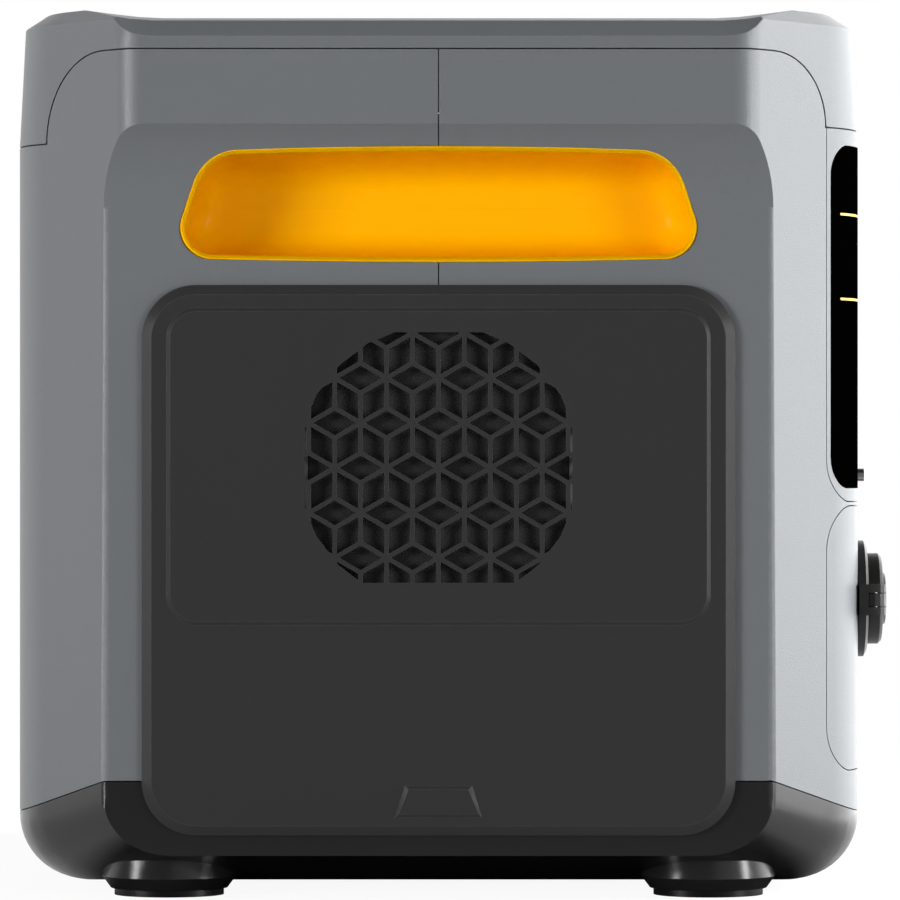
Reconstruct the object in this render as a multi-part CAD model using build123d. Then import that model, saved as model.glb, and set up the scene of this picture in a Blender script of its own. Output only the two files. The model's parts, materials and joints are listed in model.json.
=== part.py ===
from build123d import *
import os
from math import asin, cos, radians, sin, sqrt, tan

# Portable power station, standing on its feet. Millimetres, +Z up, front face towards -Y.
# Everything is drawn about the housing's own centre and moved at the end, so that the
# origin lies under the middle of the whole object, socket cap included.

# ---- housing: driving dimensions ----
overall_width = 420.0
overall_height = 311.3
body_depth = 300.2
underside = 3.6             # height of the flat underside above the floor
wall = 3.0
seam_gap = 0.4
fit_gap = 0.3
shaft_clearance = 0.05

corner_angle = 35.0         # slanted corners, measured from the front plane
corner_radius = 60.0        # rounding between the front face and a slanted corner
side_flat = 216.4           # depth of the side's flat where it is widest
side_edge_radius = 12.0     # rounding between the side and a slanted corner
side_recess = 11.9          # how far the lower side steps in under the shoulder
shoulder_radius = 40.0
shoulder_sweep = radians(60)
shoulder_foot = 241.0       # height where the shoulder's hollow starts
base_bevel_angle = 15.5     # shallow rise of the underside towards each side
base_bevel_inset = 54.0     # width of that rise, from the widest side
base_bevel_softness = 80.0
base_corner_radius = 23.0
hollow_corner_share = 0.8   # slanted low corners of the hollow, of the outer rounding

# ---- seams ----
base_seam_side = 41.0       # height of the base seam on the sides
base_seam_end = 27.4        # and at the front and rear faces
cover_seam_side = overall_height - 15.65
cover_seam_flat = 234.0     # depth of the level stretch on the sides
rear_drop_half = body_depth / 2 - 11.6
rear_seam = overall_height - 46.7
front_drop_half = body_depth / 2 - 13.5
front_seam = overall_height - 40.9

# ---- top cover ----
cover_draft = 2.4
rim_drop = 5.1              # from the crown to the foot of the slanted rim
rim_inset = 7.8
scoop_depth = 5.55          # dip of the crown above each carrying cup
scoop_rim_depth = 6.35      # and of the foot of the rim
scoop_reach = 78.0
scoop_least_reach = 18.0
scoop_flat = 198.0
scoop_end = 41.0
scoop_steps = 5

half_width = overall_width / 2
half_depth = body_depth / 2
lower_side = half_width - side_recess
turn = radians(corner_angle)
corner_reach = sin(turn) * half_width + cos(turn) * side_flat / 2
base_bevel_start = half_width - base_bevel_inset
room = 40.0                 # how far cutting shapes run past what they cut
front_flat_half = (corner_reach - cos(turn) * half_depth) / sin(turn) - corner_radius * tan(turn / 2)


def box_between(low, high):
    """Box between two corner points."""
    size = [b - a for a, b in zip(low, high)]
    centre = [(a + b) / 2 for a, b in zip(low, high)]
    return Pos(*centre) * Box(*size)


def rod(radius, low, high, x=0.0, y=0.0):
    """Upright round bar between two heights."""
    return Pos(x, y, (low + high) / 2) * Cylinder(radius, high - low)


def rod_y(radius, low, high, x=0.0, z=0.0):
    """Round bar along Y between two depths."""
    return Pos(x, (low + high) / 2, z) * (Rot(90, 0, 0) * Cylinder(radius, high - low))


def rod_x(radius, low, high, y=0.0, z=0.0):
    """Round bar along X between two places."""
    return Pos((low + high) / 2, y, z) * (Rot(0, 90, 0) * Cylinder(radius, high - low))


def bar(radius, low, high, x=0.0, y=0.0, sides=6):
    """Upright bar between two heights, six-sided unless told otherwise."""
    return Pos(x, y, low) * extrude(RegularPolygon(radius, sides), high - low)


def bar_y(radius, low, high, x=0.0, z=0.0, sides=6):
    """Bar along Y between two depths, six-sided unless told otherwise."""
    return Pos(x, low, z) * (Rot(-90, 0, 0) * extrude(RegularPolygon(radius, sides), high - low))


def bar_x(radius, low, high, y=0.0, z=0.0, sides=6):
    """Bar along X between two places, six-sided unless told otherwise."""
    return Pos(low, y, z) * (Rot(0, 90, 0) * extrude(RegularPolygon(radius, sides), high - low))


def other_side(shape):
    """The same piece on the opposite side of the housing."""
    return mirror(shape, about=Plane.YZ)


# ---- outer form ----
def plan_face(inset=0.0, end_inset=0.0):
    """Plan of the housing: flat sides, slanted corners, rounded ends."""
    side = half_width - inset
    end = half_depth - inset - end_inset
    reach = corner_reach - inset
    side_y = (reach - sin(turn) * side) / cos(turn)
    end_x = (reach - cos(turn) * end) / sin(turn)
    corners = [(side, side_y), (end_x, end), (-end_x, end), (-side, side_y)]
    corners += [(-x, -y) for x, y in corners]
    face = make_face(Polyline(*corners, close=True))
    side_radius = max(side_edge_radius - inset, 1.0)
    end_radius = corner_radius - inset
    at_side = [v for v in face.vertices() if abs(abs(v.X) - side) < 0.01]
    face = fillet(at_side, side_radius)
    at_end = [v for v in face.vertices() if abs(abs(v.Y) - end) < 0.01]
    return fillet(at_end, end_radius)


def cavity_plan(inset):
    """Plan of the hollow inside: the same outline with its rounded corners cut straight."""
    side = half_width - inset
    end = half_depth - inset
    reach = corner_reach - inset
    side_y = (reach - sin(turn) * side) / cos(turn)
    end_x = (reach - cos(turn) * end) / sin(turn)
    corners = [(side, side_y), (end_x, end), (-end_x, end), (-side, side_y)]
    corners += [(-x, -y) for x, y in corners]
    face = make_face(Polyline(*corners, close=True))
    at_end = [v for v in face.vertices() if abs(abs(v.Y) - end) < 0.01]
    return chamfer(at_end, (corner_radius - inset) * tan(turn / 2))


def bevel_height(x, inset=0.0):
    """Height of the underside at a distance from the middle."""
    rise = tan(radians(base_bevel_angle)) * max(abs(x) - base_bevel_start, 0.0)
    return underside + inset + rise


def front_view_face(inset=0.0):
    """Front view of the housing: bevelled underside, stepped-in sides, hollow shoulders."""
    low_x = lower_side - inset
    bend = shoulder_radius + inset
    centre_x = lower_side + shoulder_radius
    far_x = half_width + room

    def on_bend(angle):
        return (centre_x - bend * cos(angle), shoulder_foot + bend * sin(angle))

    top = overall_height + room
    low = [(base_bevel_start, bevel_height(0, inset)), (low_x, bevel_height(low_x, inset))]
    edges = [Line((-base_bevel_start, low[0][1]), low[0])]
    for side in (1, -1):
        points = [(side * x, z) for x, z in low]
        hollow = [(side * x, z) for x, z in (on_bend(shoulder_sweep * k / 2) for k in range(3))]
        edges.append(Line(points[0], points[1]))
        edges.append(Line(points[1], hollow[0]))
        edges.append(ThreePointArc(*hollow))
        edges.append(Line(hollow[2], (side * far_x, hollow[2][1])))
        edges.append(Line((side * far_x, hollow[2][1]), (side * far_x, top)))
    edges.append(Line((-far_x, top), (far_x, top)))
    face = make_face(edges)
    soft = [v for v in face.vertices() if abs(abs(v.X) - base_bevel_start) < 0.01]
    return fillet(soft, base_bevel_softness)


def low_corner_edges(form):
    """Edges where the upright walls meet the underside."""
    low_edges = []
    for edge in form.edges():
        runs_across = abs((edge % 0.5).Y) > 0.99
        if edge.bounding_box().max.Z < base_seam_end and not runs_across:
            low_edges.append(edge)
    return low_edges


def body_form(inset=0.0):
    """Solid inside the housing's outer surface, inset by a wall."""
    upright = extrude(plan_face(inset), overall_height + room)
    across = extrude(Plane.XZ * front_view_face(inset), half_depth + room, both=True)
    form = upright & across
    return fillet(low_corner_edges(form), base_corner_radius - inset)


def cavity_form(inset):
    """Hollow inside the walls, bounded by flat faces."""
    low_x, high_x = lower_side - inset, half_width - inset
    bend = shoulder_radius + inset
    centre_x = lower_side + shoulder_radius
    bend_angle = asin(sqrt(bend**2 - (centre_x - high_x) ** 2) / bend)
    side = [(base_bevel_start, bevel_height(0, inset)), (low_x, bevel_height(low_x, inset))]
    for share in (0.0, 0.5, 1.0):
        angle = bend_angle * share
        side.append((centre_x - bend * cos(angle), shoulder_foot + bend * sin(angle)))
    side.append((high_x, overall_height))
    points = side + [(-x, z) for x, z in reversed(side)]
    across = extrude(Plane.XZ * make_face(Polyline(*points, close=True)), half_depth, both=True)
    form = extrude(cavity_plan(inset), overall_height) & across
    low_edges = low_corner_edges(form)
    return chamfer(low_edges, (base_corner_radius - inset) * hollow_corner_share)


def wall_form(inset=0.0):
    """Upright walls alone, for the panels of the front and the rear."""
    return extrude(plan_face(inset), overall_height)


def cover_form():
    """Solid inside the top cover's outer surface: drafted ends and a slanted rim all round."""
    low = plan_face()
    rim_low = overall_height - rim_drop
    rim = plan_face(0.0, cover_draft)
    crown = plan_face(rim_inset, cover_draft)
    start = rear_seam - room / 2
    straight = extrude(Pos(0, 0, start) * low, rear_seam - start)
    drafted = loft([Pos(0, 0, rear_seam) * low, Pos(0, 0, rim_low) * rim], ruled=True)
    slanted = loft([Pos(0, 0, rim_low) * rim, Pos(0, 0, overall_height) * crown], ruled=True)
    return straight + drafted + slanted


def scoop_tool():
    """Shape that dips the cover's side rim above each carrying cup and slopes the top towards it."""
    def section(y):
        past = max(abs(y) - scoop_flat / 2, 0.0) / scoop_end
        ease = 1 - past * past * (3 - 2 * past) if past < 1 else 0.0
        lift = 0.0 if ease > 0 else fit_gap
        reach = scoop_least_reach + (scoop_reach - scoop_least_reach) * ease
        crown = overall_height - scoop_depth * ease + lift
        foot = overall_height - rim_drop - scoop_rim_depth * ease + lift
        beyond = foot - (crown - foot) * fit_gap / rim_inset
        outside = half_width + room
        points = [(half_width - reach, overall_height + lift), (half_width - rim_inset, crown)]
        points += [(half_width + fit_gap, beyond), (outside, beyond), (outside, overall_height + room)]
        points.append((half_width - reach, overall_height + room))
        return Pos(0, y, 0) * (Plane.XZ * make_face(Polyline(*points, close=True)))

    half_flat = scoop_flat / 2
    middle = extrude(section(half_flat), scoop_flat)
    steps = [half_flat + scoop_end * k / scoop_steps for k in range(scoop_steps + 1)]
    end = loft([section(y) for y in steps], ruled=True)
    return middle + end + mirror(end, about=Plane.XZ)


def below_base_seam(raised=0.0):
    """All that lies under the base seam, moved up by a gap."""
    end = half_depth + room
    side_y = (corner_reach - sin(turn) * lower_side) / cos(turn)
    slope = (base_seam_side - base_seam_end) / (half_depth - side_y)
    far_z = base_seam_side - slope * (end - side_y) + raised
    points = [(-end, -room), (end, -room), (end, far_z), (side_y, base_seam_side + raised)]
    points += [(-side_y, base_seam_side + raised), (-end, far_z)]
    face = make_face(Polyline(*points, close=True))
    return extrude(Plane.YZ * face, half_width + room, both=True)


def below_cover_seam(gap=0.0):
    """All that lies under the top cover's seam, kept clear of it by a gap."""
    flat = cover_seam_flat / 2
    high = cover_seam_side - gap
    width = 2 * (half_depth + room)
    face = Pos(0, (high - room) / 2) * Rectangle(cover_seam_flat, high + room)
    ends = [(1, rear_drop_half, rear_seam), (-1, front_drop_half, front_seam)]
    for side, drop_half, seam in ends:
        bulge = Pos(side * flat, seam) * Ellipse(drop_half - gap - flat, high - seam)
        low = Pos(side * width / 4, (seam - gap - room) / 2) * Rectangle(width / 2, seam - gap + room)
        drop = Pos(side * (drop_half - gap) / 2, seam / 2) * Rectangle(drop_half - gap, seam)
        outer_half = Pos(side * width / 4, 0) * Rectangle(width / 2, 4 * overall_height)
        face = face + (bulge & outer_half) + low + drop
    return extrude(Plane.YZ * face, half_width + room, both=True)


# ---- front face ----
insert_side_margin = 41.0   # grey wall beside the insert
insert_half_width = half_width - insert_side_margin
insert_low = 138.4
insert_high = overall_height - 41.3
insert_radius = 15.0
insert_depth = 5.0
glass_side_margin = 2.0
glass_low_margin = 4.5
glass_high_margin = 5.5
glass_low = insert_low + glass_low_margin
glass_high = insert_high - glass_high_margin
glass_radius = 11.0
glass_depth = 2.0
lower_panel_low = 43.0
lower_panel_high = insert_low - 1.9
lower_panel_radius = 16.0
lower_panel_depth = 3.5


def front_window(half_span, low, high, radii, grow=0.0):
    """Prism through the front wall, with its own lower and upper corner radii."""
    low_radius, high_radius = radii
    width = 2 * (half_span + grow)
    height = high - low + 2 * grow
    face = Pos(0, (low + high) / 2) * Rectangle(width, height)
    if low_radius:
        corners = [v for v in face.vertices() if v.Y < (low + high) / 2]
        face = fillet(corners, low_radius + grow)
    if high_radius:
        corners = [v for v in face.vertices() if v.Y > (low + high) / 2]
        face = fillet(corners, high_radius + grow)
    reach = half_depth + room
    return Pos(0, -reach / 4, 0) * extrude(Plane.XZ * face, reach * 3 / 4)


def insert_window(grow=0.0):
    """Window of the front insert."""
    return front_window(insert_half_width, insert_low, insert_high, (insert_radius, 0), grow)


def glass_window():
    """Window of the glass."""
    half_span = insert_half_width - glass_side_margin
    return front_window(half_span, glass_low, glass_high, (glass_radius, glass_radius))


def lower_window(grow=0.0):
    """Window of the lower front panel."""
    radii = (lower_panel_radius, lower_panel_radius)
    return front_window(insert_half_width, lower_panel_low, lower_panel_high, radii, grow)


# ---- parts behind and in the glass ----
usb_height = 176.0
display_width = 120.0
display_low = usb_height + 29.0
display_high = glass_high - 13.5
display_middle = (display_low + display_high) / 2
board_thickness = 1.6
board_gap = 4.0             # from the back of the front insert to the boards
control_board_margin = (28.0, 6.0)
board_post_radius = 3.0
board_post_root = 0.5       # how far a post is sunk into what carries it
control_post_spacing = 78.0
control_post_inset = 1.0
button_post_places = (-90.0, 0.0, 90.0)
rule_heights = (display_middle + 12.0, display_middle - 18.0)
rule_length = 34.0
rule_height = 0.8
rule_margin = 8.0           # from the insert's edge to the rules
rule_start = insert_half_width - rule_margin
rule_proud = 0.05

button_overhang = 2.3       # how far the outer buttons stand past the front's flat
button_reach = front_flat_half + button_overhang
button_places = [button_reach * share / 3 for share in (-3, -1, 1, 3)]
button_names = ("power", "ac", "dc", "light")
button_height = glass_low + 4.7
button_crown_share = 0.7    # the dome's flat and the square stem, of the button's radius
button_board_half_height = 5.0
button_board_margin = 11.5
switch_half = 3.0
window_clearance = 0.4      # round a button's stem, in the insert
stem_root = 0.1             # how far the stem is sunk into the dome and the flange
button_radius = 2.3
button_sides = 16
button_rim_drop = 0.6
button_proud = 2.7
button_travel = 1.0
button_flange_radius = 3.4
button_flange_depth = 1.0

usb_a_places = (-118.0, -96.0, -74.0, -52.0)
usb_c_places = (52.0, 74.0)
usb_a_size = (13.4, 5.9)
usb_c_size = (9.4, 3.7)
usb_wall = 0.4
usb_flat_limit = 4.5
usb_flat_bevel = 0.36       # slanted ends of the flat kind, of its height
usb_setback = 0.5
usb_length = 15.0
usb_a_tongue = (1.9, 0.9)   # thickness, and height above the shell's middle
usb_c_tongue = (0.8, 0.0)
tongue_side_gap = 0.6
tongue_setback = 2.0
usb_floor = 1.0

# ---- lower front panel ----
outlet_places = (-62.0, -8.0, 46.0, 100.0)
outlet_height = 94.0
outlet_size = (40.0, 36.0)
outlet_corner = 4.0
outlet_proud = 1.2
outlet_recess = 2.4
outlet_body_depth = 27.0
outlet_lip = 1.5            # how far the proud rim covers the panel
outlet_slack = 0.01
outlet_face = (28.0, 26.0)
outlet_face_corner = 7.0
blade_slots = ((-6.35, 8.0), (6.35, 7.0))
blade_width = 2.0
blade_rise = -3.5
earth_rise = 6.5
earth_radius = 2.6
slot_depth = 16.0
socket_x = -118.0
socket_z = 103.0
socket_bore_radius = 10.5
socket_bore_length = 40.0
socket_lead_in = 1.2        # wider mouth of the bore, where the cap's seal lies
socket_relief = 3.8         # wider end of the bore, round the contact
socket_relief_step = 0.8
socket_floor = 2.5
contact_head = 2.0
contact_head_wall = 1.0
contact_tail = 6.0
socket_wall = 2.6
contact_radius = 1.5
flange_radius = 20.9
flange_proud = 3.75
flange_bevel = (1.8, 1.0)
cap_radius = 16.35
cap_proud = 9.2
cap_bevel = 1.2
cap_boss_radius = 9.0
cap_boss_slope = 1.0
cap_reach = 10.65           # the cap's boss is what stands furthest forward
cap_seal_depth = 1.2
cap_seal_gap = 1.2
cap_arm_reach = 3.0
hinge_height = 11.0
knuckle_height = 4.6
knuckle_sides = 12
knuckle_radius = 4.0
knuckle_setback = 0.4
cap_axis_offset = 20.6
cap_pin_radius = 1.0

# ---- sides ----
cup_height_low = 222.1
cup_height_high = 261.8
cup_low_bow = 1.4
cup_high_bow = 2.0
cup_low_half = 94.3
cup_high_half = 81.4
cup_low_radius = 11.0
cup_high_radius = 17.0
cup_bowl_shape = 2.4        # how late the bowl starts to close in
cup_wall = 2.2
cup_depth = 38.0
cup_mouth_depth = 3.0       # straight part behind the lip
cup_narrowing = 12.5        # how much the bowl closes in towards its floor

cover_half_width = 103.2
cover_low = 22.5
cover_high = 213.9
cover_radius = 19.0
cover_proud = 4.5
cover_bevel = 3.4
cover_bevel_drop = 2.2
panel_half_width = 94.5
panel_low = 95.6
panel_high = 205.9
panel_radius = 10.5
panel_proud = 1.0
panel_slope = 1.3
tab_low = 28.8
tab_high = 39.9
tab_low_width = 30.3
tab_high_width = 23.3
tongue_size = (7.0, 12.0, 2.4)
tongue_half_spacing = 72.0
tongue_heights = (52.0, 196.0)
tongue_root = 0.5           # how far a tongue is sunk into its cover

grille_height = 153.9
grille_size = (93.0, 87.0)
grille_circle_radius = 49.0
grille_circle_drop = 2.8    # its middle lies under the grille's
grille_margin = 1.5
well_corner_share = 0.4     # slanted corners of the well behind the grille
least_hole = 1.5            # area under which a cut-off air hole is left closed
grille_sides = 24
tile_side = 10.4
tile_bar = 1.55
tile_shift = -3.6
cover_thin = 2.4            # thickness of the cover where the grille is cut

filter_half = 45.5
filter_corner = 24.0
filter_depth = 2.6
fan_size = 92.0
fan_depth = 25.0
fan_bore_radius = 44.0
fan_rotor_radius = 42.2
fan_hub_radius = 17.0
fan_hub_depth = 16.0
fan_hub_face = 2.0          # thickness of the hub's closed end
fan_strut_depth = 3.0
fan_strut_width = 5.0
fan_hub_gap = 1.0           # from the struts to the running hub
fan_shaft_radius = 2.0
fan_blades = 7
fan_blade_angle = 38.0
fan_blade_thickness = 1.4
fan_blade_root = 2.5        # how far a blade is sunk into the hub
fan_blade_share = 0.96      # of the hub's depth that the blades fill
fan_corner = 5.0
fan_screw_spacing = 82.5
fan_screw_radius = 2.1
fan_screw_head = (1.8, 2.2)

# ---- rear face ----
bay_half_width = 62.0
bay_low = 186.0
bay_high = rear_seam - 18.6
bay_middle = (bay_low + bay_high) / 2
bay_depth = 24.0
bay_floor = half_depth - bay_depth
bay_wall = 2.0
door_thickness = 2.5
door_barrel_radius = 2.6
door_pin_radius = 1.2
inlet_x = -28.0
inlet_size = (32.0, 24.0)
inlet_rim = 2.5
inlet_hollow = 14.0
inlet_back = 4.0
inlet_proud = 2.0
inlet_pin_places = ((-7.0, -2.2), (7.0, -2.2), (0.0, 2.8))
inlet_pin_half = (1.0, 2.0)
inlet_pin_setback = 2.5
solar_places = (18.0, 44.0)
solar_radius = 9.0
solar_bore_radius = 4.6
solar_length = 16.0
solar_rim = (2.0, 3.0)
solar_back = 4.0
solar_pin_radius = 1.2
solar_pin_setback = 1.0
bay_cut_depth = 20.0
grip_half_width = 9.0
grip_depth = 1.2
grip_margins = (14.0, 8.0)  # from the bay's top edge

# ---- underside ----
foot_x = 168.5
foot_y = 95.0
foot_radius = 19.3
foot_thickness = 2.4
pedestal_low_radius = 20.6
pedestal_high_radius = 23.7
foot_screw_radius = 2.0
foot_screw_head = 4.0
foot_screw_inset = 0.8
foot_screw_length = 6.0
pedestal_rise = 3.0
pedestal_taper = 2.0
case_screw_places = [(x, y) for x in (-134.0, 134.0) for y in (-62.0, 62.0)]
case_screw_places += [(-60.0, -114.0), (60.0, -114.0)]
case_screw_radius = 3.4
case_screw_recess = 1.6
case_screw_inset = 0.2
case_shank_radius = 1.5
case_shank_end = 10.0
case_boss_wall = 3.0
case_boss_height = 14.0

# ---- battery and electronics ----
cell_size = (28.0, 113.0, 140.0)
cell_gap = 0.6
cells_across = 8
cell_front = -98.0
tray_lift = 3.0
tray_thickness = 3.0
tray_rim = 12.0
tray_wall = 2.0
tray_foot_half = 6.0
tray_foot_inset = (12.0, 14.0)
terminal_size = (15.0, 14.0, 3.0)
terminal_offset = 38.0
bar_thickness = 1.5
frame_thickness = 8.0
frame_border = 6.0
bms_size = (150.0, 70.0)
inverter_tray_height = 176.0
inverter_tray_size = (260.0, 214.0)
inverter_tray_thickness = 2.0
inverter_board_size = (230.0, 180.0)
standoff = 6.0
standoff_inset = 8.0
sink_size = (150.0, 30.0, 62.0)
sink_offset = 64.0
sink_base = 4.0
sink_fin = 1.6
sink_fins = 5
core_size = (56.0, 46.0, 48.0)
core_offset = 42.0
winding_margin = 6.0
capacitor_radius = 11.0
capacitor_height = 44.0
capacitor_gap = 3.0
capacitor_offset = 36.5
capacitor_sides = 12
capacitors_across = 5
overrun = 1.0               # how far a cut runs past the face that it opens


# ---- pieces of the carrying cups ----
def cup_outline(inset=0.0):
    """Side view of the cup's mouth: wider at its foot, with generous corners."""
    low = cup_height_low + cup_low_bow + inset
    high = cup_height_high - cup_high_bow - inset
    foot_half, head_half = cup_low_half - inset, cup_high_half - inset
    edges = [ThreePointArc((-foot_half, low), (0, low - cup_low_bow), (foot_half, low))]
    edges.append(Line((foot_half, low), (head_half, high)))
    edges.append(ThreePointArc((head_half, high), (0, high + cup_high_bow), (-head_half, high)))
    edges.append(Line((-head_half, high), (-foot_half, low)))
    face = make_face(edges)
    largest = 0.45 * (high - low)
    foot = [v for v in face.vertices() if abs(v.Y - low) < 0.01]
    face = fillet(foot, min(cup_low_radius, largest))
    head = [v for v in face.vertices() if abs(v.Y - high) < 0.01]
    return fillet(head, min(cup_high_radius, largest))


def cup_hollow():
    """The space that the hand reaches into, from outside the wall to the cup's floor."""
    mouth = lower_side - cup_mouth_depth
    outside = half_width + room
    straight = Pos(mouth, 0, 0) * extrude(Plane.YZ * cup_outline(cup_wall), outside - mouth)
    sections = []
    for share in (0.0, 0.6, 1.0):
        x = mouth - (cup_depth - cup_mouth_depth - cup_wall) * share
        narrowing = cup_wall + cup_narrowing * share**cup_bowl_shape
        sections.append(Pos(x, 0, 0) * (Plane.YZ * cup_outline(narrowing)))
    return straight + loft(sections, ruled=True)


def cup_opening(clearance):
    """Hole through the housing's wall for the cup's mouth."""
    start = lower_side - 2 * wall
    return Pos(start, 0, 0) * extrude(Plane.YZ * cup_outline(-clearance), half_width + room - start)


def handle_cup(form):
    """Orange cup that the hand reaches into, flush with the outer surface."""
    inner_face = lower_side - wall
    plug = Pos(inner_face, 0, 0) * extrude(Plane.YZ * cup_outline(), half_width + room - inner_face)
    floor_x = lower_side - cup_depth
    low, high = cup_height_low - cup_wall, cup_height_high + cup_wall
    shrink = cup_narrowing / 2
    ends = []
    for x, inset in ((floor_x, shrink), (inner_face, 0.0)):
        foot_half, head_half = cup_low_half - inset, cup_high_half - inset
        corners = [(-foot_half, low + inset), (foot_half, low + inset)]
        corners += [(head_half, high - inset), (-head_half, high - inset)]
        ends.append(Pos(x, 0, 0) * (Plane.YZ * make_face(Polyline(*corners, close=True))))
    body = loft(ends, ruled=True)
    return ((plug & form) + body) - cup_hollow()


# ---- side covers ----
def side_rectangle(half_span, low, high, radius, x):
    """Rounded rectangle on a side, standing in the plane at a given x."""
    plane = Plane(origin=(x, 0, (low + high) / 2), x_dir=(0, 1, 0), z_dir=(1, 0, 0))
    return plane * RectangleRounded(2 * half_span, high - low, radius)


def grille_outline():
    """Edge of the grille: a circle with its four sides cut flat."""
    circle = Pos(0, -grille_circle_drop) * RegularPolygon(grille_circle_radius, grille_sides)
    return circle & Rectangle(*grille_size)


def tile_holes():
    """Air holes: three directions of rhombus, as in a tumbling block pattern."""
    pitch = sqrt(3) * tile_side
    row = 1.5 * tile_side
    long_half = pitch / 2 - tile_bar
    short_half = long_half / sqrt(3)
    outline = grille_outline()
    limit = grille_circle_radius + tile_side
    diamonds = []
    rows = int(limit / row) + 1
    columns = int(limit / pitch) + 1
    for j in range(-rows, rows + 1):
        for i in range(-columns, columns + 1):
            star_y = pitch * (i + (j % 2) / 2)
            star_z = row * j + tile_shift
            for angle in (0, 60, 120):
                y = star_y + pitch / 2 * cos(radians(angle))
                z = star_z + pitch / 2 * sin(radians(angle))
                if sqrt(y * y + z * z) > limit:
                    continue
                corners = [(long_half, 0), (0, short_half), (-long_half, 0), (0, -short_half)]
                tile = make_face(Polyline(*corners, close=True))
                hole = (Pos(y, z) * (Rot(0, 0, angle) * tile)) & outline
                for face in hole.faces():
                    if face.area > least_hole:
                        diamonds.append(face)
    return diamonds


def tongue_block(y, z, grow=0.0):
    """Tongue that snaps a side cover into the housing's wall."""
    depth, width, height = tongue_size
    inner = lower_side - depth - grow
    low = (inner, y - width / 2 - grow, z - height / 2 - grow)
    high = (lower_side + overrun, y + width / 2 + grow, z + height / 2 + grow)
    return box_between(low, high)


def tongue_places():
    """Places of a side cover's four tongues."""
    return [(s * tongue_half_spacing, z) for s in (-1, 1) for z in tongue_heights]


def side_cover():
    """Black cover with a bevelled rim, a raised panel, the air grille and a finger tab."""
    back = lower_side + fit_gap
    face = lower_side + cover_proud
    bevel_start = face - cover_bevel_drop
    foot = side_rectangle(cover_half_width, cover_low, cover_high, cover_radius, back)
    base = extrude(foot, bevel_start - back)
    rim = side_rectangle(cover_half_width, cover_low, cover_high, cover_radius, bevel_start)
    crown = side_rectangle(cover_half_width - cover_bevel, cover_low + cover_bevel,
                           cover_high - cover_bevel, cover_radius - cover_bevel, face)
    plate = base + loft([rim, crown], ruled=True)
    panel_low_face = side_rectangle(panel_half_width, panel_low, panel_high, panel_radius, face)
    panel_high_face = side_rectangle(panel_half_width - panel_slope, panel_low + panel_slope,
                                     panel_high - panel_slope, panel_radius - panel_slope,
                                     face + panel_proud)
    plate = plate + loft([panel_low_face, panel_high_face], ruled=True)
    tab = []
    for x, shrink in ((face, 0.0), (face + panel_proud, panel_slope)):
        low, high = tab_low + shrink, tab_high - shrink
        low_half, high_half = tab_low_width / 2 - shrink, tab_high_width / 2 - shrink
        points = [(-low_half, low), (low_half, low), (high_half, high), (-high_half, high)]
        outline = make_face(Polyline(*points, close=True))
        tab.append(Plane(origin=(x, 0, 0), x_dir=(0, 1, 0), z_dir=(1, 0, 0)) * outline)
    plate = plate + loft(tab, ruled=True)
    hollow_depth = face + panel_proud - cover_thin
    grille_plane = Plane(origin=(hollow_depth, 0, grille_height), x_dir=(0, 1, 0), z_dir=(1, 0, 0))
    back_plane = Plane(origin=(back, 0, grille_height), x_dir=(0, 1, 0), z_dir=(1, 0, 0))
    well_size = (grille_size[0] + 2 * grille_margin, grille_size[1] + 2 * grille_margin)
    well_face = chamfer(Rectangle(*well_size).vertices(), grille_circle_radius * well_corner_share)
    well = extrude(back_plane * well_face, hollow_depth - back)
    holes = extrude(grille_plane * Sketch(tile_holes()), 2 * cover_thin)
    plate = plate - well - holes
    behind = box_between((0, -half_depth, 0), (back + tongue_root, half_depth, overall_height))
    for y, z in tongue_places():
        plate = plate + (tongue_block(y, z) & behind)
    return plate


# ---- air filter and fan behind each cover ----
def vent_outline(grow=0.0):
    """Square air opening with rounded corners, centred on the grille."""
    half = filter_half + grow
    return Pos(0, grille_height) * RectangleRounded(2 * half, 2 * half, filter_corner + grow)


def dust_filter():
    """Folded filter mat that lies in the wall's air opening."""
    outer = Plane(origin=(lower_side - filter_depth, 0, 0), x_dir=(0, 1, 0), z_dir=(1, 0, 0))
    return extrude(outer * vent_outline(-fit_gap), filter_depth)


def fan_frame():
    """Square fan frame with a venturi bore, screw eyes, struts and the motor post."""
    outer_x = lower_side - wall
    inner_x = outer_x - fan_depth
    plane = Plane(origin=(inner_x, 0, grille_height), x_dir=(0, 1, 0), z_dir=(1, 0, 0))
    frame = extrude(plane * chamfer(Rectangle(fan_size, fan_size).vertices(), fan_corner), fan_depth)
    bore = rod_x(fan_bore_radius, inner_x - overrun, outer_x + overrun, 0, grille_height)
    frame = frame - bore
    half = fan_screw_spacing / 2
    for y, z in ((half, half), (half, -half), (-half, half), (-half, -half)):
        frame = frame - bar_x(fan_screw_radius, inner_x - overrun, outer_x + overrun, y, grille_height + z)
    strut_block = Box(fan_strut_depth, fan_bore_radius + 2 * overrun, fan_strut_width)
    strut = Pos(inner_x + fan_strut_depth / 2, fan_bore_radius / 2 + overrun, 0) * strut_block
    for k in range(4):
        frame = frame + Pos(0, 0, grille_height) * (Rot(45 + 90 * k, 0, 0) * strut)
    frame = frame + rod_x(fan_hub_radius, inner_x, inner_x + fan_strut_depth, 0, grille_height)
    post_end = hub_span()[1] - fan_hub_face - fit_gap
    return frame + rod_x(fan_shaft_radius, inner_x, post_end, 0, grille_height)


def hub_span():
    """Both ends of the rotor's hub, a hair above the motor plate."""
    start = lower_side - wall - fan_depth + fan_strut_depth + fan_hub_gap
    return start, start + fan_hub_depth


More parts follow.
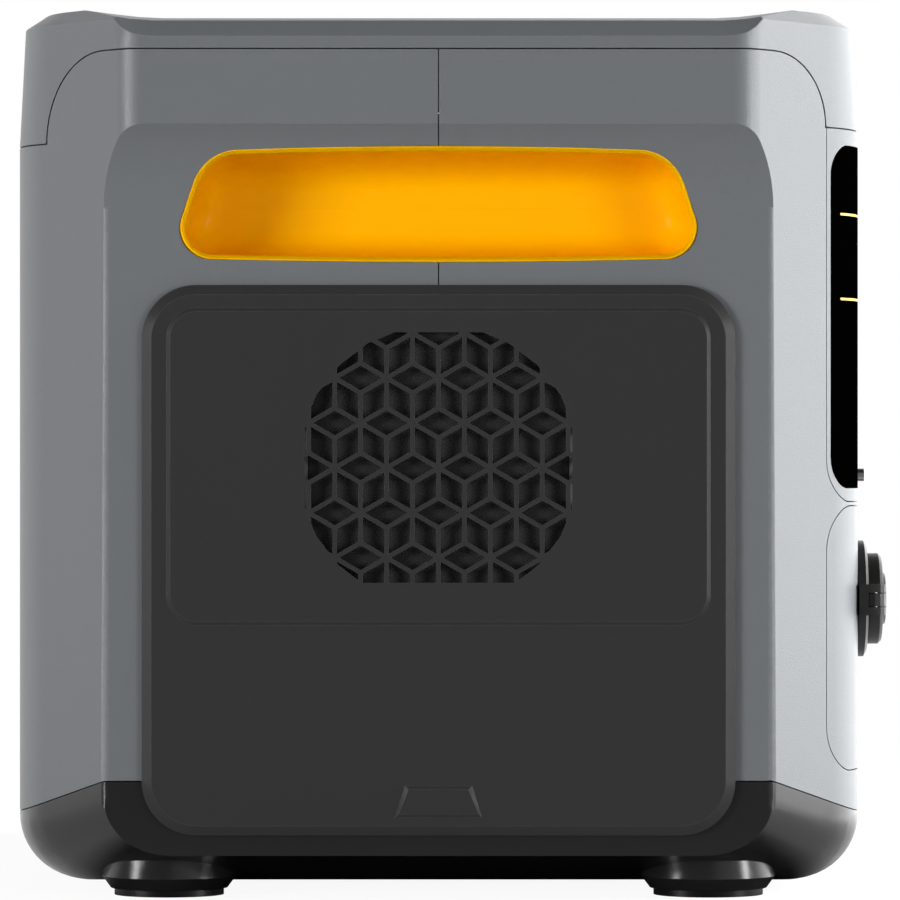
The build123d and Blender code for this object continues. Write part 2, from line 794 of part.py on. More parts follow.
def fan_rotor():
    """Hub cup with twisted blades, running on the frame's post."""
    inner_x, hub_end = hub_span()
    hub = bar_x(fan_hub_radius, inner_x, hub_end, 0, 0, 2 * fan_blades)
    blade_middle = (inner_x + hub_end) / 2
    chord = fan_hub_depth / cos(radians(fan_blade_angle)) * fan_blade_share
    blades = []
    for k in range(fan_blades):
        root = fan_hub_radius - fan_blade_root
        blade_block = Box(chord, fan_rotor_radius - root, fan_blade_thickness)
        plate = Pos(0, (root + fan_rotor_radius) / 2, 0) * blade_block
        plate = Pos(blade_middle, 0, 0) * (Rot(0, fan_blade_angle, 0) * plate)
        blades.append(Rot(360 / fan_blades * k, 0, 0) * plate)
    rotor = hub + blades
    rotor = rotor - rod_x(fan_shaft_radius + shaft_clearance, inner_x - overrun, hub_end - fan_hub_face)
    return Pos(0, 0, grille_height) * rotor


def fan_screws():
    """Four screws that hold one fan, heads on the inner side."""
    outer_x = lower_side - wall
    inner_x = outer_x - fan_depth
    half = fan_screw_spacing / 2
    head_wall, head_height = fan_screw_head
    screws = []
    for y, z in ((half, half), (half, -half), (-half, half), (-half, -half)):
        shank = bar_x(fan_screw_radius, inner_x, outer_x, y, grille_height + z)
        head = bar_x(fan_screw_radius + head_wall, inner_x - head_height, inner_x, y, grille_height + z)
        screws.append(shank + head)
    return screws


# ---- front pieces ----
def slab(thickness):
    """Layer of the front wall from the outer surface inwards."""
    return wall_form() - wall_form(thickness)


def front_insert():
    """Frame behind the glass, with posts for the boards."""
    insert = insert_window() & slab(insert_depth)
    insert = insert - (glass_window() - wall_form(glass_depth))
    back = -half_depth + insert_depth
    window_half = display_width / 2 + fit_gap
    insert = insert - box_between((-window_half, -half_depth, display_low - fit_gap),
                                  (window_half, back + overrun, display_high + fit_gap))
    for x, z in post_places():
        insert = insert + bar_y(board_post_radius, back - board_post_root, back + board_gap, x, z)
    reach = button_radius + window_clearance
    for x in button_places:
        insert = insert - box_between((x - reach, -half_depth, button_height - reach),
                                      (x + reach, back + overrun, button_height + reach))
    return insert - usb_holes()


def post_places():
    """Posts that carry the control board and the button board."""
    posts = [(x, button_height) for x in button_post_places]
    heights = (display_low + control_post_inset, display_high - control_post_inset)
    return posts + [(side * control_post_spacing, z) for side in (-1, 1) for z in heights]


def button_holes():
    """Holes that guide the push buttons."""
    radius = button_radius + fit_gap
    front, back = -half_depth - overrun, -half_depth + insert_depth + overrun
    holes = [bar_y(radius, front, back, x, button_height, button_sides) for x in button_places]
    return holes[0] + holes[1:]


def usb_outline(size):
    """Mouth of a USB shell; the flat kind has slanted ends."""
    if size[1] > usb_flat_limit:
        return Rectangle(*size)
    return chamfer(Rectangle(*size).vertices(), size[1] * usb_flat_bevel)


def usb_blocks(places, size, start=usb_setback):
    """Prisms of the USB shells, set back a little from the glass."""
    blocks = []
    for x in places:
        plane = Plane(origin=(x, -half_depth + start, usb_height), x_dir=(1, 0, 0), z_dir=(0, 1, 0))
        blocks.append(extrude(plane * usb_outline(size), usb_length))
    return blocks


def usb_holes():
    """Openings for the USB shells through the glass and the insert."""
    start = -2 * overrun
    blocks = usb_blocks(usb_a_places, usb_a_size, start) + usb_blocks(usb_c_places, usb_c_size, start)
    return blocks[0] + blocks[1:]


def control_glass():
    """Black glass that follows the front's curve."""
    glass = glass_window() & slab(glass_depth)
    return glass - button_holes() - usb_holes()


def usb_shells(places, size):
    """Metal shells, each with its tongue left standing inside."""
    shells = []
    for x, block in zip(places, usb_blocks(places, size)):
        inner_size = (size[0] - 2 * usb_wall, size[1] - 2 * usb_wall)
        hollow = usb_blocks([x], inner_size, -usb_floor)[0]
        shells.append(block - hollow)
    return shells


def usb_tongues():
    """Insulating tongues inside the USB shells, standing on their closed backs."""
    tongues = []
    front = -half_depth + tongue_setback
    back = -half_depth + usb_length - usb_floor
    kinds = [(usb_a_places, usb_a_size, usb_a_tongue), (usb_c_places, usb_c_size, usb_c_tongue)]
    for places, size, tongue in kinds:
        half = size[0] / 2 - usb_wall - tongue_side_gap
        thickness, lift = tongue
        low_z = usb_height + lift - thickness / 2
        high_z = usb_height + lift + thickness / 2
        for x in places:
            tongues.append(box_between((x - half, front, low_z), (x + half, back, high_z)))
    return tongues


def accent_rules():
    """Thin printed rules on the glass, left and right."""
    film = wall_form(-rule_proud) - wall_form()
    rules = []
    for side in (-1, 1):
        ends = sorted((side * rule_start, side * (rule_start - rule_length)))
        for z in rule_heights:
            low = (ends[0], -half_depth - overrun, z - rule_height / 2)
            rules.append(film & box_between(low, (ends[1], -half_depth / 2, z + rule_height / 2)))
    return rules


def push_button(x):
    """Domed button on a square stem with a flange that keeps it behind the front."""
    surface = -half_depth
    back = surface + insert_depth + fit_gap
    rim_y = surface - button_proud + button_rim_drop
    dome = bar_y(button_radius, rim_y, surface + glass_depth, x, button_height, button_sides)
    front = Plane(origin=(x, rim_y, button_height), x_dir=(1, 0, 0), z_dir=(0, -1, 0))
    rim = front * RegularPolygon(button_radius, button_sides)
    half = button_radius * button_crown_share
    crown = front * (Pos(0, 0, button_rim_drop) * RegularPolygon(half, button_sides))
    dome = dome + loft([rim, crown], ruled=True)
    stem = box_between((x - half, surface + glass_depth - stem_root, button_height - half),
                       (x + half, back + stem_root, button_height + half))
    half = button_flange_radius
    flange = box_between((x - half, back, button_height - half),
                         (x + half, back + button_flange_depth, button_height + half))
    return dome + stem + flange


def board_face():
    """Depth at which the two boards stand behind the front insert."""
    return -half_depth + insert_depth + board_gap


def button_board():
    """Narrow board behind the row of buttons."""
    front = board_face()
    half = button_reach + button_board_margin
    return box_between((-half, front, button_height - button_board_half_height),
                       (half, front + board_thickness, button_height + button_board_half_height))


def button_switches():
    """Four small switches, a hair behind each pressed button."""
    front = board_face()
    pressed = -half_depth + insert_depth + 2 * fit_gap + button_flange_depth + button_travel
    half = switch_half
    return [box_between((x - half, pressed, button_height - half), (x + half, front, button_height + half))
            for x in button_places]


def display_module():
    """Display behind the glass, standing on the control board."""
    half = display_width / 2
    return box_between((-half, -half_depth + glass_depth, display_low), (half, board_face(), display_high))


def control_board():
    """Board that carries the display."""
    front = board_face()
    margin_x, margin_z = control_board_margin
    half = display_width / 2 + margin_x
    return box_between((-half, front, display_low - margin_z),
                       (half, front + board_thickness, display_high + margin_z))


# ---- lower front panel, outlets and car socket ----
def cap_axis():
    """Place of the socket cap's upright hinge axis."""
    return socket_x - cap_axis_offset, -half_depth - cap_proud + knuckle_radius - knuckle_setback


def lower_front_panel():
    """Panel that carries the car socket and the outlets."""
    panel = lower_window() & slab(lower_panel_depth)
    front = -half_depth - room / 2
    panel = panel - rod_y(socket_bore_radius + socket_wall, front, -half_depth / 2, socket_x, socket_z)
    for x in outlet_places:
        panel = panel - outlet_prism(x, -half_depth - overrun, half_depth / 2, outlet_lip - outlet_slack)
    return panel


def outlet_prism(x, start, length, inset=0.0):
    """Upright block of an outlet with slanted corners, running inwards from a given depth."""
    width, height = outlet_size[0] - 2 * inset, outlet_size[1] - 2 * inset
    plane = Plane(origin=(x, start, outlet_height), x_dir=(1, 0, 0), z_dir=(0, 1, 0))
    return extrude(plane * chamfer(Rectangle(width, height).vertices(), outlet_corner), length)


def ac_outlets():
    """Mains outlets: a proud rim, a recessed face and slots for two blades and an earth pin."""
    outlets = []
    front = -half_depth - outlet_proud
    for x in outlet_places:
        outlet = outlet_prism(x, front, outlet_proud)
        outlet = outlet + outlet_prism(x, -half_depth, outlet_body_depth, outlet_lip)
        face = Plane(origin=(x, front, outlet_height), x_dir=(1, 0, 0), z_dir=(0, 1, 0))
        recess = face * chamfer(Rectangle(*outlet_face).vertices(), outlet_face_corner)
        outlet = outlet - extrude(recess, outlet_recess)
        for slot_x, slot_height in blade_slots:
            slot = face * (Pos(slot_x, blade_rise) * Rectangle(blade_width, slot_height))
            outlet = outlet - extrude(slot, outlet_recess + slot_depth)
        earth = face * (Pos(0, earth_rise) * RegularPolygon(earth_radius, 6))
        outlet = outlet - extrude(earth, outlet_recess + slot_depth)
        outlets.append(outlet)
    return outlets


def socket_floor_depth():
    """Place along Y of the floor behind the car socket's bore."""
    return -half_depth - flange_proud + socket_lead_in + socket_bore_length + socket_relief


def car_socket():
    """Car-type socket: flange with hinge ears, and a deep round barrel."""
    front = -half_depth - flange_proud
    axis_x, axis_y = cap_axis()
    bevel_in, bevel_down = flange_bevel
    points = [(0, 0), (flange_radius, 0), (flange_radius, flange_proud - bevel_down)]
    points += [(flange_radius - bevel_in, flange_proud), (0, flange_proud)]
    flange = revolve(Plane.XZ * make_face(Polyline(*points, close=True)), Axis.Z)
    flange = Pos(socket_x, -half_depth, socket_z) * (Rot(90, 0, 0) * flange)
    outer = socket_bore_radius + socket_wall - fit_gap
    floor = socket_floor_depth()
    barrel = rod_y(outer, -half_depth - overrun / 2, floor + socket_floor, socket_x, socket_z)
    bore_start = front + socket_lead_in
    bore_end = bore_start + socket_bore_length
    outside = front - overrun
    socket = flange + barrel - rod_y(socket_bore_radius, outside, bore_end, socket_x, socket_z)
    socket = socket - rod_y(socket_bore_radius + socket_lead_in, outside, bore_start, socket_x, socket_z)
    relief_radius = socket_bore_radius + socket_relief_step
    socket = socket - rod_y(relief_radius, bore_end, floor, socket_x, socket_z)
    half = hinge_height / 2
    ears = bar(knuckle_radius, socket_z - half, socket_z + half, axis_x, axis_y, knuckle_sides)
    ears = ears + box_between((axis_x - knuckle_radius, axis_y, socket_z - half),
                              (axis_x + knuckle_radius, -half_depth, socket_z + half))
    middle = knuckle_height / 2 + fit_gap
    gap_radius = knuckle_radius + 2 * fit_gap
    gap = bar(gap_radius, socket_z - middle, socket_z + middle, axis_x, axis_y, knuckle_sides)
    reach = knuckle_radius + overrun
    gap = gap + box_between((axis_x - reach, -half_depth - room / 2, socket_z - middle),
                            (axis_x + reach, axis_y, socket_z + middle))
    pin_hole = rod(cap_pin_radius, socket_z - half, socket_z + half, axis_x, axis_y)
    contact_hole = bar_y(contact_radius, floor - overrun, 0, socket_x, socket_z)
    return socket + ears - gap - pin_hole - contact_hole


def cap_hinge_pin():
    """Pin of the cap's hinge, held in the socket's ears."""
    axis_x, axis_y = cap_axis()
    return rod(cap_pin_radius, socket_z - hinge_height / 2, socket_z + hinge_height / 2, axis_x, axis_y)


def socket_cap():
    """Round cap with a raised boss in front, a shallow seal behind and one knuckle."""
    back = -half_depth - flange_proud - fit_gap
    depth = cap_proud - flange_proud - fit_gap
    boss = cap_reach - cap_proud
    points = [(0, 0), (cap_radius, 0), (cap_radius, depth - cap_bevel), (cap_radius - cap_bevel, depth)]
    points += [(cap_boss_radius + cap_boss_slope, depth), (cap_boss_radius, depth + boss)]
    points.append((0, depth + boss))
    body = revolve(Plane.XZ * make_face(Polyline(*points, close=True)), Axis.Z)
    cap = Pos(socket_x, back, socket_z) * (Rot(90, 0, 0) * body)
    seal_radius = socket_bore_radius - cap_seal_gap
    seal = rod_y(seal_radius, back - overrun / 2, back + cap_seal_depth, socket_x, socket_z)
    axis_x, axis_y = cap_axis()
    half = knuckle_height / 2
    knuckle = bar(knuckle_radius, socket_z - half, socket_z + half, axis_x, axis_y, knuckle_sides)
    arm = box_between((axis_x, axis_y - knuckle_radius, socket_z - half),
                      (socket_x - cap_radius + cap_arm_reach, back, socket_z + half))
    half = half + overrun
    hole = rod(cap_pin_radius + shaft_clearance, socket_z - half, socket_z + half, axis_x, axis_y)
    return cap + seal + knuckle + arm - hole


def socket_contact():
    """Sprung centre contact at the bottom of the car socket."""
    floor = socket_floor_depth()
    head = bar_y(contact_radius + contact_head_wall, floor - contact_head, floor, socket_x, socket_z)
    return head + bar_y(contact_radius, floor, floor + contact_tail, socket_x, socket_z)


# ---- rear bay with its door ----
def bay_box(grow=0.0, depth=bay_depth):
    """Block of the rear bay, from outside the rear wall inwards."""
    plane = Plane(origin=(0, half_depth + overrun, bay_middle), x_dir=(-1, 0, 0), z_dir=(0, -1, 0))
    size = (2 * (bay_half_width + grow), bay_high - bay_low + 2 * grow)
    return extrude(plane * Rectangle(*size), depth + overrun)


def door_axis():
    """Place of the door's hinge axis, along its lower edge."""
    inset = door_barrel_radius + fit_gap
    return half_depth - inset, bay_low + inset


def rear_inlet_bay():
    """Recessed tray that holds the rear sockets behind the door."""
    rear = box_between((-half_width, 0, 0), (half_width, half_depth, overall_height))
    bay = (bay_box(bay_wall, bay_depth + bay_wall) & rear) - bay_box()
    for opening in (inlet_prism(), *solar_prisms()):
        bay = bay - opening
    axis_y, axis_z = door_axis()
    reach = bay_half_width + bay_wall / 2
    return bay - rod_x(door_pin_radius, -reach, reach, axis_y, axis_z)


def inlet_prism(grow=0.0, start=bay_floor + overrun, depth=bay_cut_depth):
    """Block of the AC inlet, running inwards from the bay's floor."""
    plane = Plane(origin=(inlet_x, start, bay_middle), x_dir=(-1, 0, 0), z_dir=(0, -1, 0))
    return extrude(plane * Rectangle(inlet_size[0] + 2 * grow, inlet_size[1] + 2 * grow), depth)


def solar_prisms():
    """Holes in the bay's floor for the solar sockets."""
    start = bay_floor + overrun
    return [bar_y(solar_radius, start - bay_cut_depth, start, x, bay_middle) for x in solar_places]


def ac_inlet():
    """Mains inlet: a rim on the bay's floor and a hollow around three pins."""
    body = inlet_prism(0.0, bay_floor, inlet_hollow + inlet_back)
    body = body + inlet_prism(inlet_rim, bay_floor + inlet_proud, inlet_proud)
    outside = inlet_proud + overrun
    return body - inlet_prism(-inlet_rim, bay_floor + outside, inlet_hollow + outside)


def inlet_pins():
    """Line, neutral and earth pins of the mains inlet."""
    half_x, half_z = inlet_pin_half
    back, front = bay_floor - inlet_hollow, bay_floor - inlet_pin_setback
    pins = []
    for x, z in inlet_pin_places:
        pin_x, pin_z = inlet_x + x, bay_middle + z
        pins.append(box_between((pin_x - half_x, back, pin_z - half_z),
                                (pin_x + half_x, front, pin_z + half_z)))
    return pins


def solar_sockets():
    """Round low-voltage inlets with a nut-like rim and a centre pin."""
    rim_wall, rim_height = solar_rim
    back = bay_floor - solar_length
    outside = bay_floor + rim_height + overrun
    sockets = []
    for x in solar_places:
        socket = bar_y(solar_radius, back, bay_floor, x, bay_middle)
        socket = socket + bar_y(solar_radius + rim_wall, bay_floor, bay_floor + rim_height, x, bay_middle)
        socket = socket - rod_y(solar_bore_radius, back + solar_back, outside, x, bay_middle)
        sockets.append(socket + bar_y(solar_pin_radius, back, bay_floor - solar_pin_setback, x, bay_middle))
    return sockets


def inlet_door():
    """Flap that closes the rear bay, with a round hinge edge along its foot."""
    axis_y, axis_z = door_axis()
    half = bay_half_width - fit_gap
    outer = axis_y + door_barrel_radius
    barrel = rod_x(door_barrel_radius, -half, half, axis_y, axis_z)
    plane = Plane(origin=(0, outer - door_thickness, bay_middle), x_dir=(-1, 0, 0), z_dir=(0, 1, 0))
    leaf = extrude(plane * Rectangle(2 * half, bay_high - bay_low - 2 * fit_gap), door_thickness)
    leaf = leaf & box_between((-half, 0, axis_z), (half, half_depth, bay_high))
    door = barrel + leaf
    grip_low, grip_high = (bay_high - margin for margin in grip_margins)
    grip = box_between((-grip_half_width, outer - grip_depth, grip_low),
                       (grip_half_width, outer + overrun, grip_high))
    half = half + overrun
    return door - grip - rod_x(door_pin_radius + shaft_clearance, -half, half, axis_y, axis_z)


def door_pin():
    """Pin of the door's hinge, held in the bay's ends."""
    axis_y, axis_z = door_axis()
    reach = bay_half_width + bay_wall / 2
    return rod_x(door_pin_radius, -reach, reach, axis_y, axis_z)


# ---- underside ----
def foot_places():
    """Places of the four feet."""
    return [(x, y) for x in (-foot_x, foot_x) for y in (-foot_y, foot_y)]


def pedestal():
    """Flared pedestal that carries one foot."""
    top = bevel_height(foot_x + pedestal_high_radius) + overrun
    points = [(0, foot_thickness), (pedestal_low_radius, foot_thickness)]
    points += [(pedestal_high_radius, underside + pedestal_rise)]
    points += [(pedestal_high_radius - pedestal_taper, top), (0, top)]
    return revolve(Plane.XZ * make_face(Polyline(*points, close=True)), Axis.Z)


def rubber_foot(x, y):
    """Rubber disc with a pocket for its screw."""
    foot = rod(foot_radius, 0.0, foot_thickness, x, y)
    return foot - bar(foot_screw_head + fit_gap, -overrun, foot_thickness + overrun, x, y)


def foot_screw(x, y):
    """Screw whose wide head holds the foot up against its pedestal."""
    head = bar(foot_screw_head + fit_gap, foot_screw_inset, foot_thickness, x, y)
    return head + bar(foot_screw_radius, foot_thickness, foot_thickness + foot_screw_length, x, y, 4)


def base_tub(form, inner):
    """Black tub: bevelled underside, foot pedestals and screw bosses."""
    tub = (form - inner) & below_base_seam()
    for x, y in foot_places():
        tub = tub + (Pos(x, y, 0) * pedestal())
        tub = tub - bar(foot_screw_radius, 0.0, foot_thickness + foot_screw_length, x, y, 4)
    for x, y in case_screw_places:
        boss_low, boss_high = underside + overrun / 2, underside + case_boss_height
        tub = tub + bar(case_screw_radius + case_boss_wall, boss_low, boss_high, x, y, 4)
        tub = tub - bar(case_screw_radius + fit_gap, 0.0, underside + case_screw_recess, x, y)
        tub = tub - bar(case_shank_radius, 0.0, underside + case_shank_end, x, y, 4)
    return tub


def case_screws():
    """Screws that hold the tub to the shells, heads sunk into the underside."""
    screws = []
    seat, end = underside + case_screw_recess, underside + case_shank_end
    for x, y in case_screw_places:
        head = bar(case_screw_radius, underside + case_screw_inset, seat, x, y)
        screws.append(head + bar(case_shank_radius, seat, end, x, y, 4))
    return screws


# ---- battery ----
def cell_columns():
    """Middles of the cells across the housing."""
    pitch = cell_size[0] + cell_gap
    return [pitch * (k - (cells_across - 1) / 2) for k in range(cells_across)]


def cell_rows():
    """Middles of the two rows of cells, front to rear."""
    width = cell_size[1]
    return [cell_front + width / 2, cell_front + width * 1.5 + cell_gap]


def pack_middle():
    """Depth of the line between the two rows of cells."""
    return sum(cell_rows()) / 2


def tray_floor():
    """Height of the cells' feet."""
    return underside + wall + tray_lift + tray_thickness


def pack_size():
    """Half width, front and rear of the block of cells."""
    half = cells_across * (cell_size[0] + cell_gap) / 2
    return half, cell_front, cell_front + 2 * cell_size[1] + cell_gap


def battery_cells():
    """Sixteen prismatic cells, each with its two terminals."""
    cells = []
    low = tray_floor()
    thick, width, height = cell_size
    for x in cell_columns():
        for y in cell_rows():
            cell = box_between((x - thick / 2, y - width / 2, low),
                               (x + thick / 2, y + width / 2, low + height))
            for offset_y in (-terminal_offset, terminal_offset):
                post = Pos(x, y + offset_y, low + height + terminal_size[2] / 2) * Box(*terminal_size)
                cell = cell + post
            cells.append(cell)
    return cells


def cell_tray():
    """Tray under the cells, with an upstanding rim and feet on the tub's floor."""
    half, front, rear = pack_size()
    low = underside + wall + tray_lift
    high = low + tray_thickness + tray_rim
    margin = cell_gap + tray_wall
    tray = box_between((-half - margin, front - margin, low), (half + margin, rear + margin, high))
    tray = tray - box_between((-half - cell_gap, front - cell_gap, low + tray_thickness),
                              (half + cell_gap, rear + cell_gap, high + overrun))
    inset_x, inset_y = tray_foot_inset
    foot, floor = tray_foot_half, underside + wall
    for x in (-half + inset_x, 0.0, half - inset_x):
        for y in (front + inset_y, rear - inset_y):
            tray = tray + box_between((x - foot, y - foot, floor), (x + foot, y + foot, low + overrun / 2))
    return tray


def bus_bars():
    """Links that join neighbouring terminals in series, and the two end tabs."""
    bars = []
    low = tray_floor() + cell_size[2] + terminal_size[2]
    columns = cell_columns()
    half_width_y = terminal_size[1] / 2
    for row, y in enumerate(cell_rows()):
        for side in (0, 1):
            offset_y = (-terminal_offset, terminal_offset)[side]
            for k in range((side + row) % 2, cells_across - 1, 2):
                low_x = columns[k] - terminal_size[0] / 2
                high_x = columns[k + 1] + terminal_size[0] / 2
                bars.append(box_between((low_x, y + offset_y - half_width_y, low),
                                        (high_x, y + offset_y + half_width_y, low + bar_thickness)))
    return bars


def cell_frame():
    """Frame that clamps the cells' shoulders and carries the management board."""
    half, front, rear = pack_size()
    low = tray_floor() + cell_size[2]
    high = low + frame_thickness
    margin = cell_gap + tray_wall
    frame = box_between((-half - margin, front - margin, low), (half + margin, rear + margin, high))
    for y in cell_rows():
        inner_half = cell_size[1] / 2 - frame_border
        frame = frame - box_between((-half + frame_border, y - inner_half, low - overrun),
                                    (half - frame_border, y + inner_half, high + overrun))
    return frame


def frame_top():
    """Height of the cell frame's upper face."""
    return tray_floor() + cell_size[2] + frame_thickness


def bms_board():
    """Battery management board, lying across the cell frame."""
    width, depth = bms_size
    middle = pack_middle()
    low = frame_top()
    return box_between((-width / 2, middle - depth / 2, low),
                       (width / 2, middle + depth / 2, low + board_thickness))


# ---- inverter ----
def inverter_tray():
    """Folded metal chassis above the cells: a shelf, side flanges and board posts."""
    width, depth = inverter_tray_size
    middle = pack_middle()
    half, front, rear = pack_size()
    low, thickness = inverter_tray_height, inverter_tray_thickness
    tray = box_between((-width / 2, middle - depth / 2, low),
                       (width / 2, middle + depth / 2, low + thickness))
    for side in (-1, 1):
        inner = side * (half - frame_border / 2 + thickness / 2)
        outer = side * (half - frame_border / 2 - thickness / 2)
        flange = box_between((min(inner, outer), middle - depth / 2, frame_top()),
                             (max(inner, outer), middle + depth / 2, low + overrun / 2))
        tray = tray + flange
    board_x, board_y = inverter_board_size
    reach_x, reach_y = board_x / 2 - standoff_inset, board_y / 2 - standoff_inset
    shelf = low + thickness
    for x in (-reach_x, 0.0, reach_x):
        for y in (middle - reach_y, middle + reach_y):
            tray = tray + bar(board_post_radius, shelf - board_post_root, shelf + standoff, x, y)
    return tray


def board_top():
    """Height of the inverter board's upper face."""
    return inverter_tray_height + inverter_tray_thickness + standoff + board_thickness


def inverter_board():
    """Board of the inverter, on the tray's posts."""
    width, depth = inverter_board_size
    middle = pack_middle()
    high = board_top()
    return box_between((-width / 2, middle - depth / 2, high - board_thickness),
                       (width / 2, middle + depth / 2, high))


def heat_sinks():
    """Two finned bars standing on the inverter board."""
    sinks = []
    length, depth, height = sink_size
    low = board_top()
    for side in (-1, 1):
        y = pack_middle() + side * sink_offset
        sink = box_between((-length / 2, y - sink_base / 2, low),
                           (length / 2, y + sink_base / 2, low + height))
        pitch = height / sink_fins
        for k in range(sink_fins):
            z = low + pitch * (k + 0.5)
            sink = sink + box_between((-length / 2, y - depth / 2, z - sink_fin / 2),
                                      (length / 2, y + depth / 2, z + sink_fin / 2))
        sinks.append(sink)
    return sinks


def transformers():
    """Two wound cores: a square iron frame round a thick winding."""
    cores = []
    width, depth, height = core_size
    low = board_top()
    y = pack_middle()
    for x in (-core_offset, core_offset):
        core = box_between((x - width / 2, y - depth / 3, low),
                           (x + width / 2, y + depth / 3, low + height))
        winding = box_between((x - width / 3, y - depth / 2, low + winding_margin),
                              (x + width / 3, y + depth / 2, low + height - winding_margin))
        cores.append(core + winding)
    return cores


def capacitors():
    """Row of round capacitors behind the transformers."""
    low = board_top()
    pitch = 2 * capacitor_radius + capacitor_gap
    y = pack_middle() + capacitor_offset
    cans = []
    for k in range(capacitors_across):
        x = pitch * (k - (capacitors_across - 1) / 2)
        cans.append(bar(capacitor_radius, low, low + capacitor_height, x, y, capacitor_sides))
    return cans


# ---- shells and top cover ----
def half_shell(form, inner, side):
    """One half of the grey wall; side is -1 for the front and 1 for the rear."""
    shell = (form - inner) & (below_cover_seam(seam_gap) - below_base_seam(seam_gap))
    far = side * (half_depth + room)
    near = side * seam_gap / 2
    low = (-half_width - room, min(near, far), -room)
    shell = shell & box_between(low, (half_width + room, max(near, far), overall_height + room))
    opening = cup_opening(fit_gap)
    vent_plane = Plane(origin=(lower_side - 2 * wall, 0, 0), x_dir=(0, 1, 0), z_dir=(1, 0, 0))
    vent = extrude(vent_plane * vent_outline(), room)
    cuts = [opening, vent]
    for y, z in tongue_places():
        if y * side > 0:
            cuts.append(tongue_block(y, z, fit_gap))
    for cut in cuts:
        shell = shell - cut - other_side(cut)
    return shell


def front_shell(form, inner):
    """Front half of the wall, with the windows of the insert and the lower panel."""
    shell = half_shell(form, inner, -1)
    return shell - insert_window(seam_gap) - lower_window(seam_gap)


def rear_shell(form, inner):
    """Rear half of the wall, with the window of the inlet bay."""
    return half_shell(form, inner, 1) - bay_box(bay_wall)


def top_cover():
    """Grey cover: drafted ends, slanted rim all round, dipped above each carrying cup."""
    scoop = scoop_tool()
    outer = cover_form() - scoop - other_side(scoop)
    inner = extrude(cavity_plan(wall), overall_height - rim_drop - scoop_rim_depth - wall)
    return (outer - inner) - below_cover_seam()


def build():
    """Make every piece and write one STEP file for each node."""
    os.makedirs("parts", exist_ok=True)
    form, inner = body_form(), cavity_form(wall)
    nodes = {
        "base_tub": base_tub(form, inner),
        "front_shell": front_shell(form, inner),
        "rear_shell": rear_shell(form, inner),
        "top_cover": top_cover(),
        "front_insert": front_insert(),
        "control_glass": control_glass(),
        "accent_rules": accent_rules(),
        "display_module": display_module(),
        "control_board": control_board(),
        "button_board": button_board(),
        "button_switches": button_switches(),
        "usb_a_shells": usb_shells(usb_a_places, usb_a_size),
        "usb_c_shells": usb_shells(usb_c_places, usb_c_size),
        "usb_tongues": usb_tongues(),
        "lower_front_panel": lower_front_panel(),
        "ac_outlets": ac_outlets(),
        "car_socket": car_socket(),
        "car_socket_contact": socket_contact(),
        "socket_cap": socket_cap(),
        "cap_hinge_pin": cap_hinge_pin(),
        "rear_inlet_bay": rear_inlet_bay(),
        "ac_inlet": ac_inlet(),
        "ac_inlet_pins": inlet_pins(),
        "solar_sockets": solar_sockets(),
        "inlet_door": inlet_door(),
        "inlet_door_pin": door_pin(),
        "rubber_feet": [rubber_foot(x, y) for x, y in foot_places()],
        "foot_screws": [foot_screw(x, y) for x, y in foot_places()],
        "case_screws": case_screws(),
        "battery_cells": battery_cells(),
        "cell_tray": cell_tray(),
        "cell_frame": cell_frame(),
        "bus_bars": bus_bars(),
        "bms_board": bms_board(),
        "inverter_tray": inverter_tray(),
        "inverter_board": inverter_board(),
        "heat_sinks": heat_sinks(),
        "transformers": transformers(),
        "capacitors": capacitors(),
    }
    for name, x in zip(button_names, button_places):
        nodes[f"{name}_button"] = push_button(x)
    sided = {
        "handle_cup": [handle_cup(form)],
        "side_cover": [side_cover()],
        "dust_filter": [dust_filter()],
        "fan_frame": [fan_frame()],
        "fan_rotor": [fan_rotor()],
        "fan_screws": fan_screws(),
    }
    for name, pieces in sided.items():
        nodes[f"{name}_right"] = pieces
        nodes[f"{name}_left"] = [other_side(piece) for piece in pieces]
    middle = Pos(0, cap_reach / 2, 0)
    for name, pieces in nodes.items():
        pieces = pieces if isinstance(pieces, list) else [pieces]
        solids = [middle * solid for piece in pieces for solid in piece.solids()]
        export_step(Compound(solids), f"parts/{name}.step")


build()
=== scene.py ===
"""Portable power station: surfaces, finishes, studio and camera, all in metres on the CAD frame."""

import json
import logging
from dataclasses import dataclass, field
from enum import Enum
from math import cos, pi, radians, sin, tan

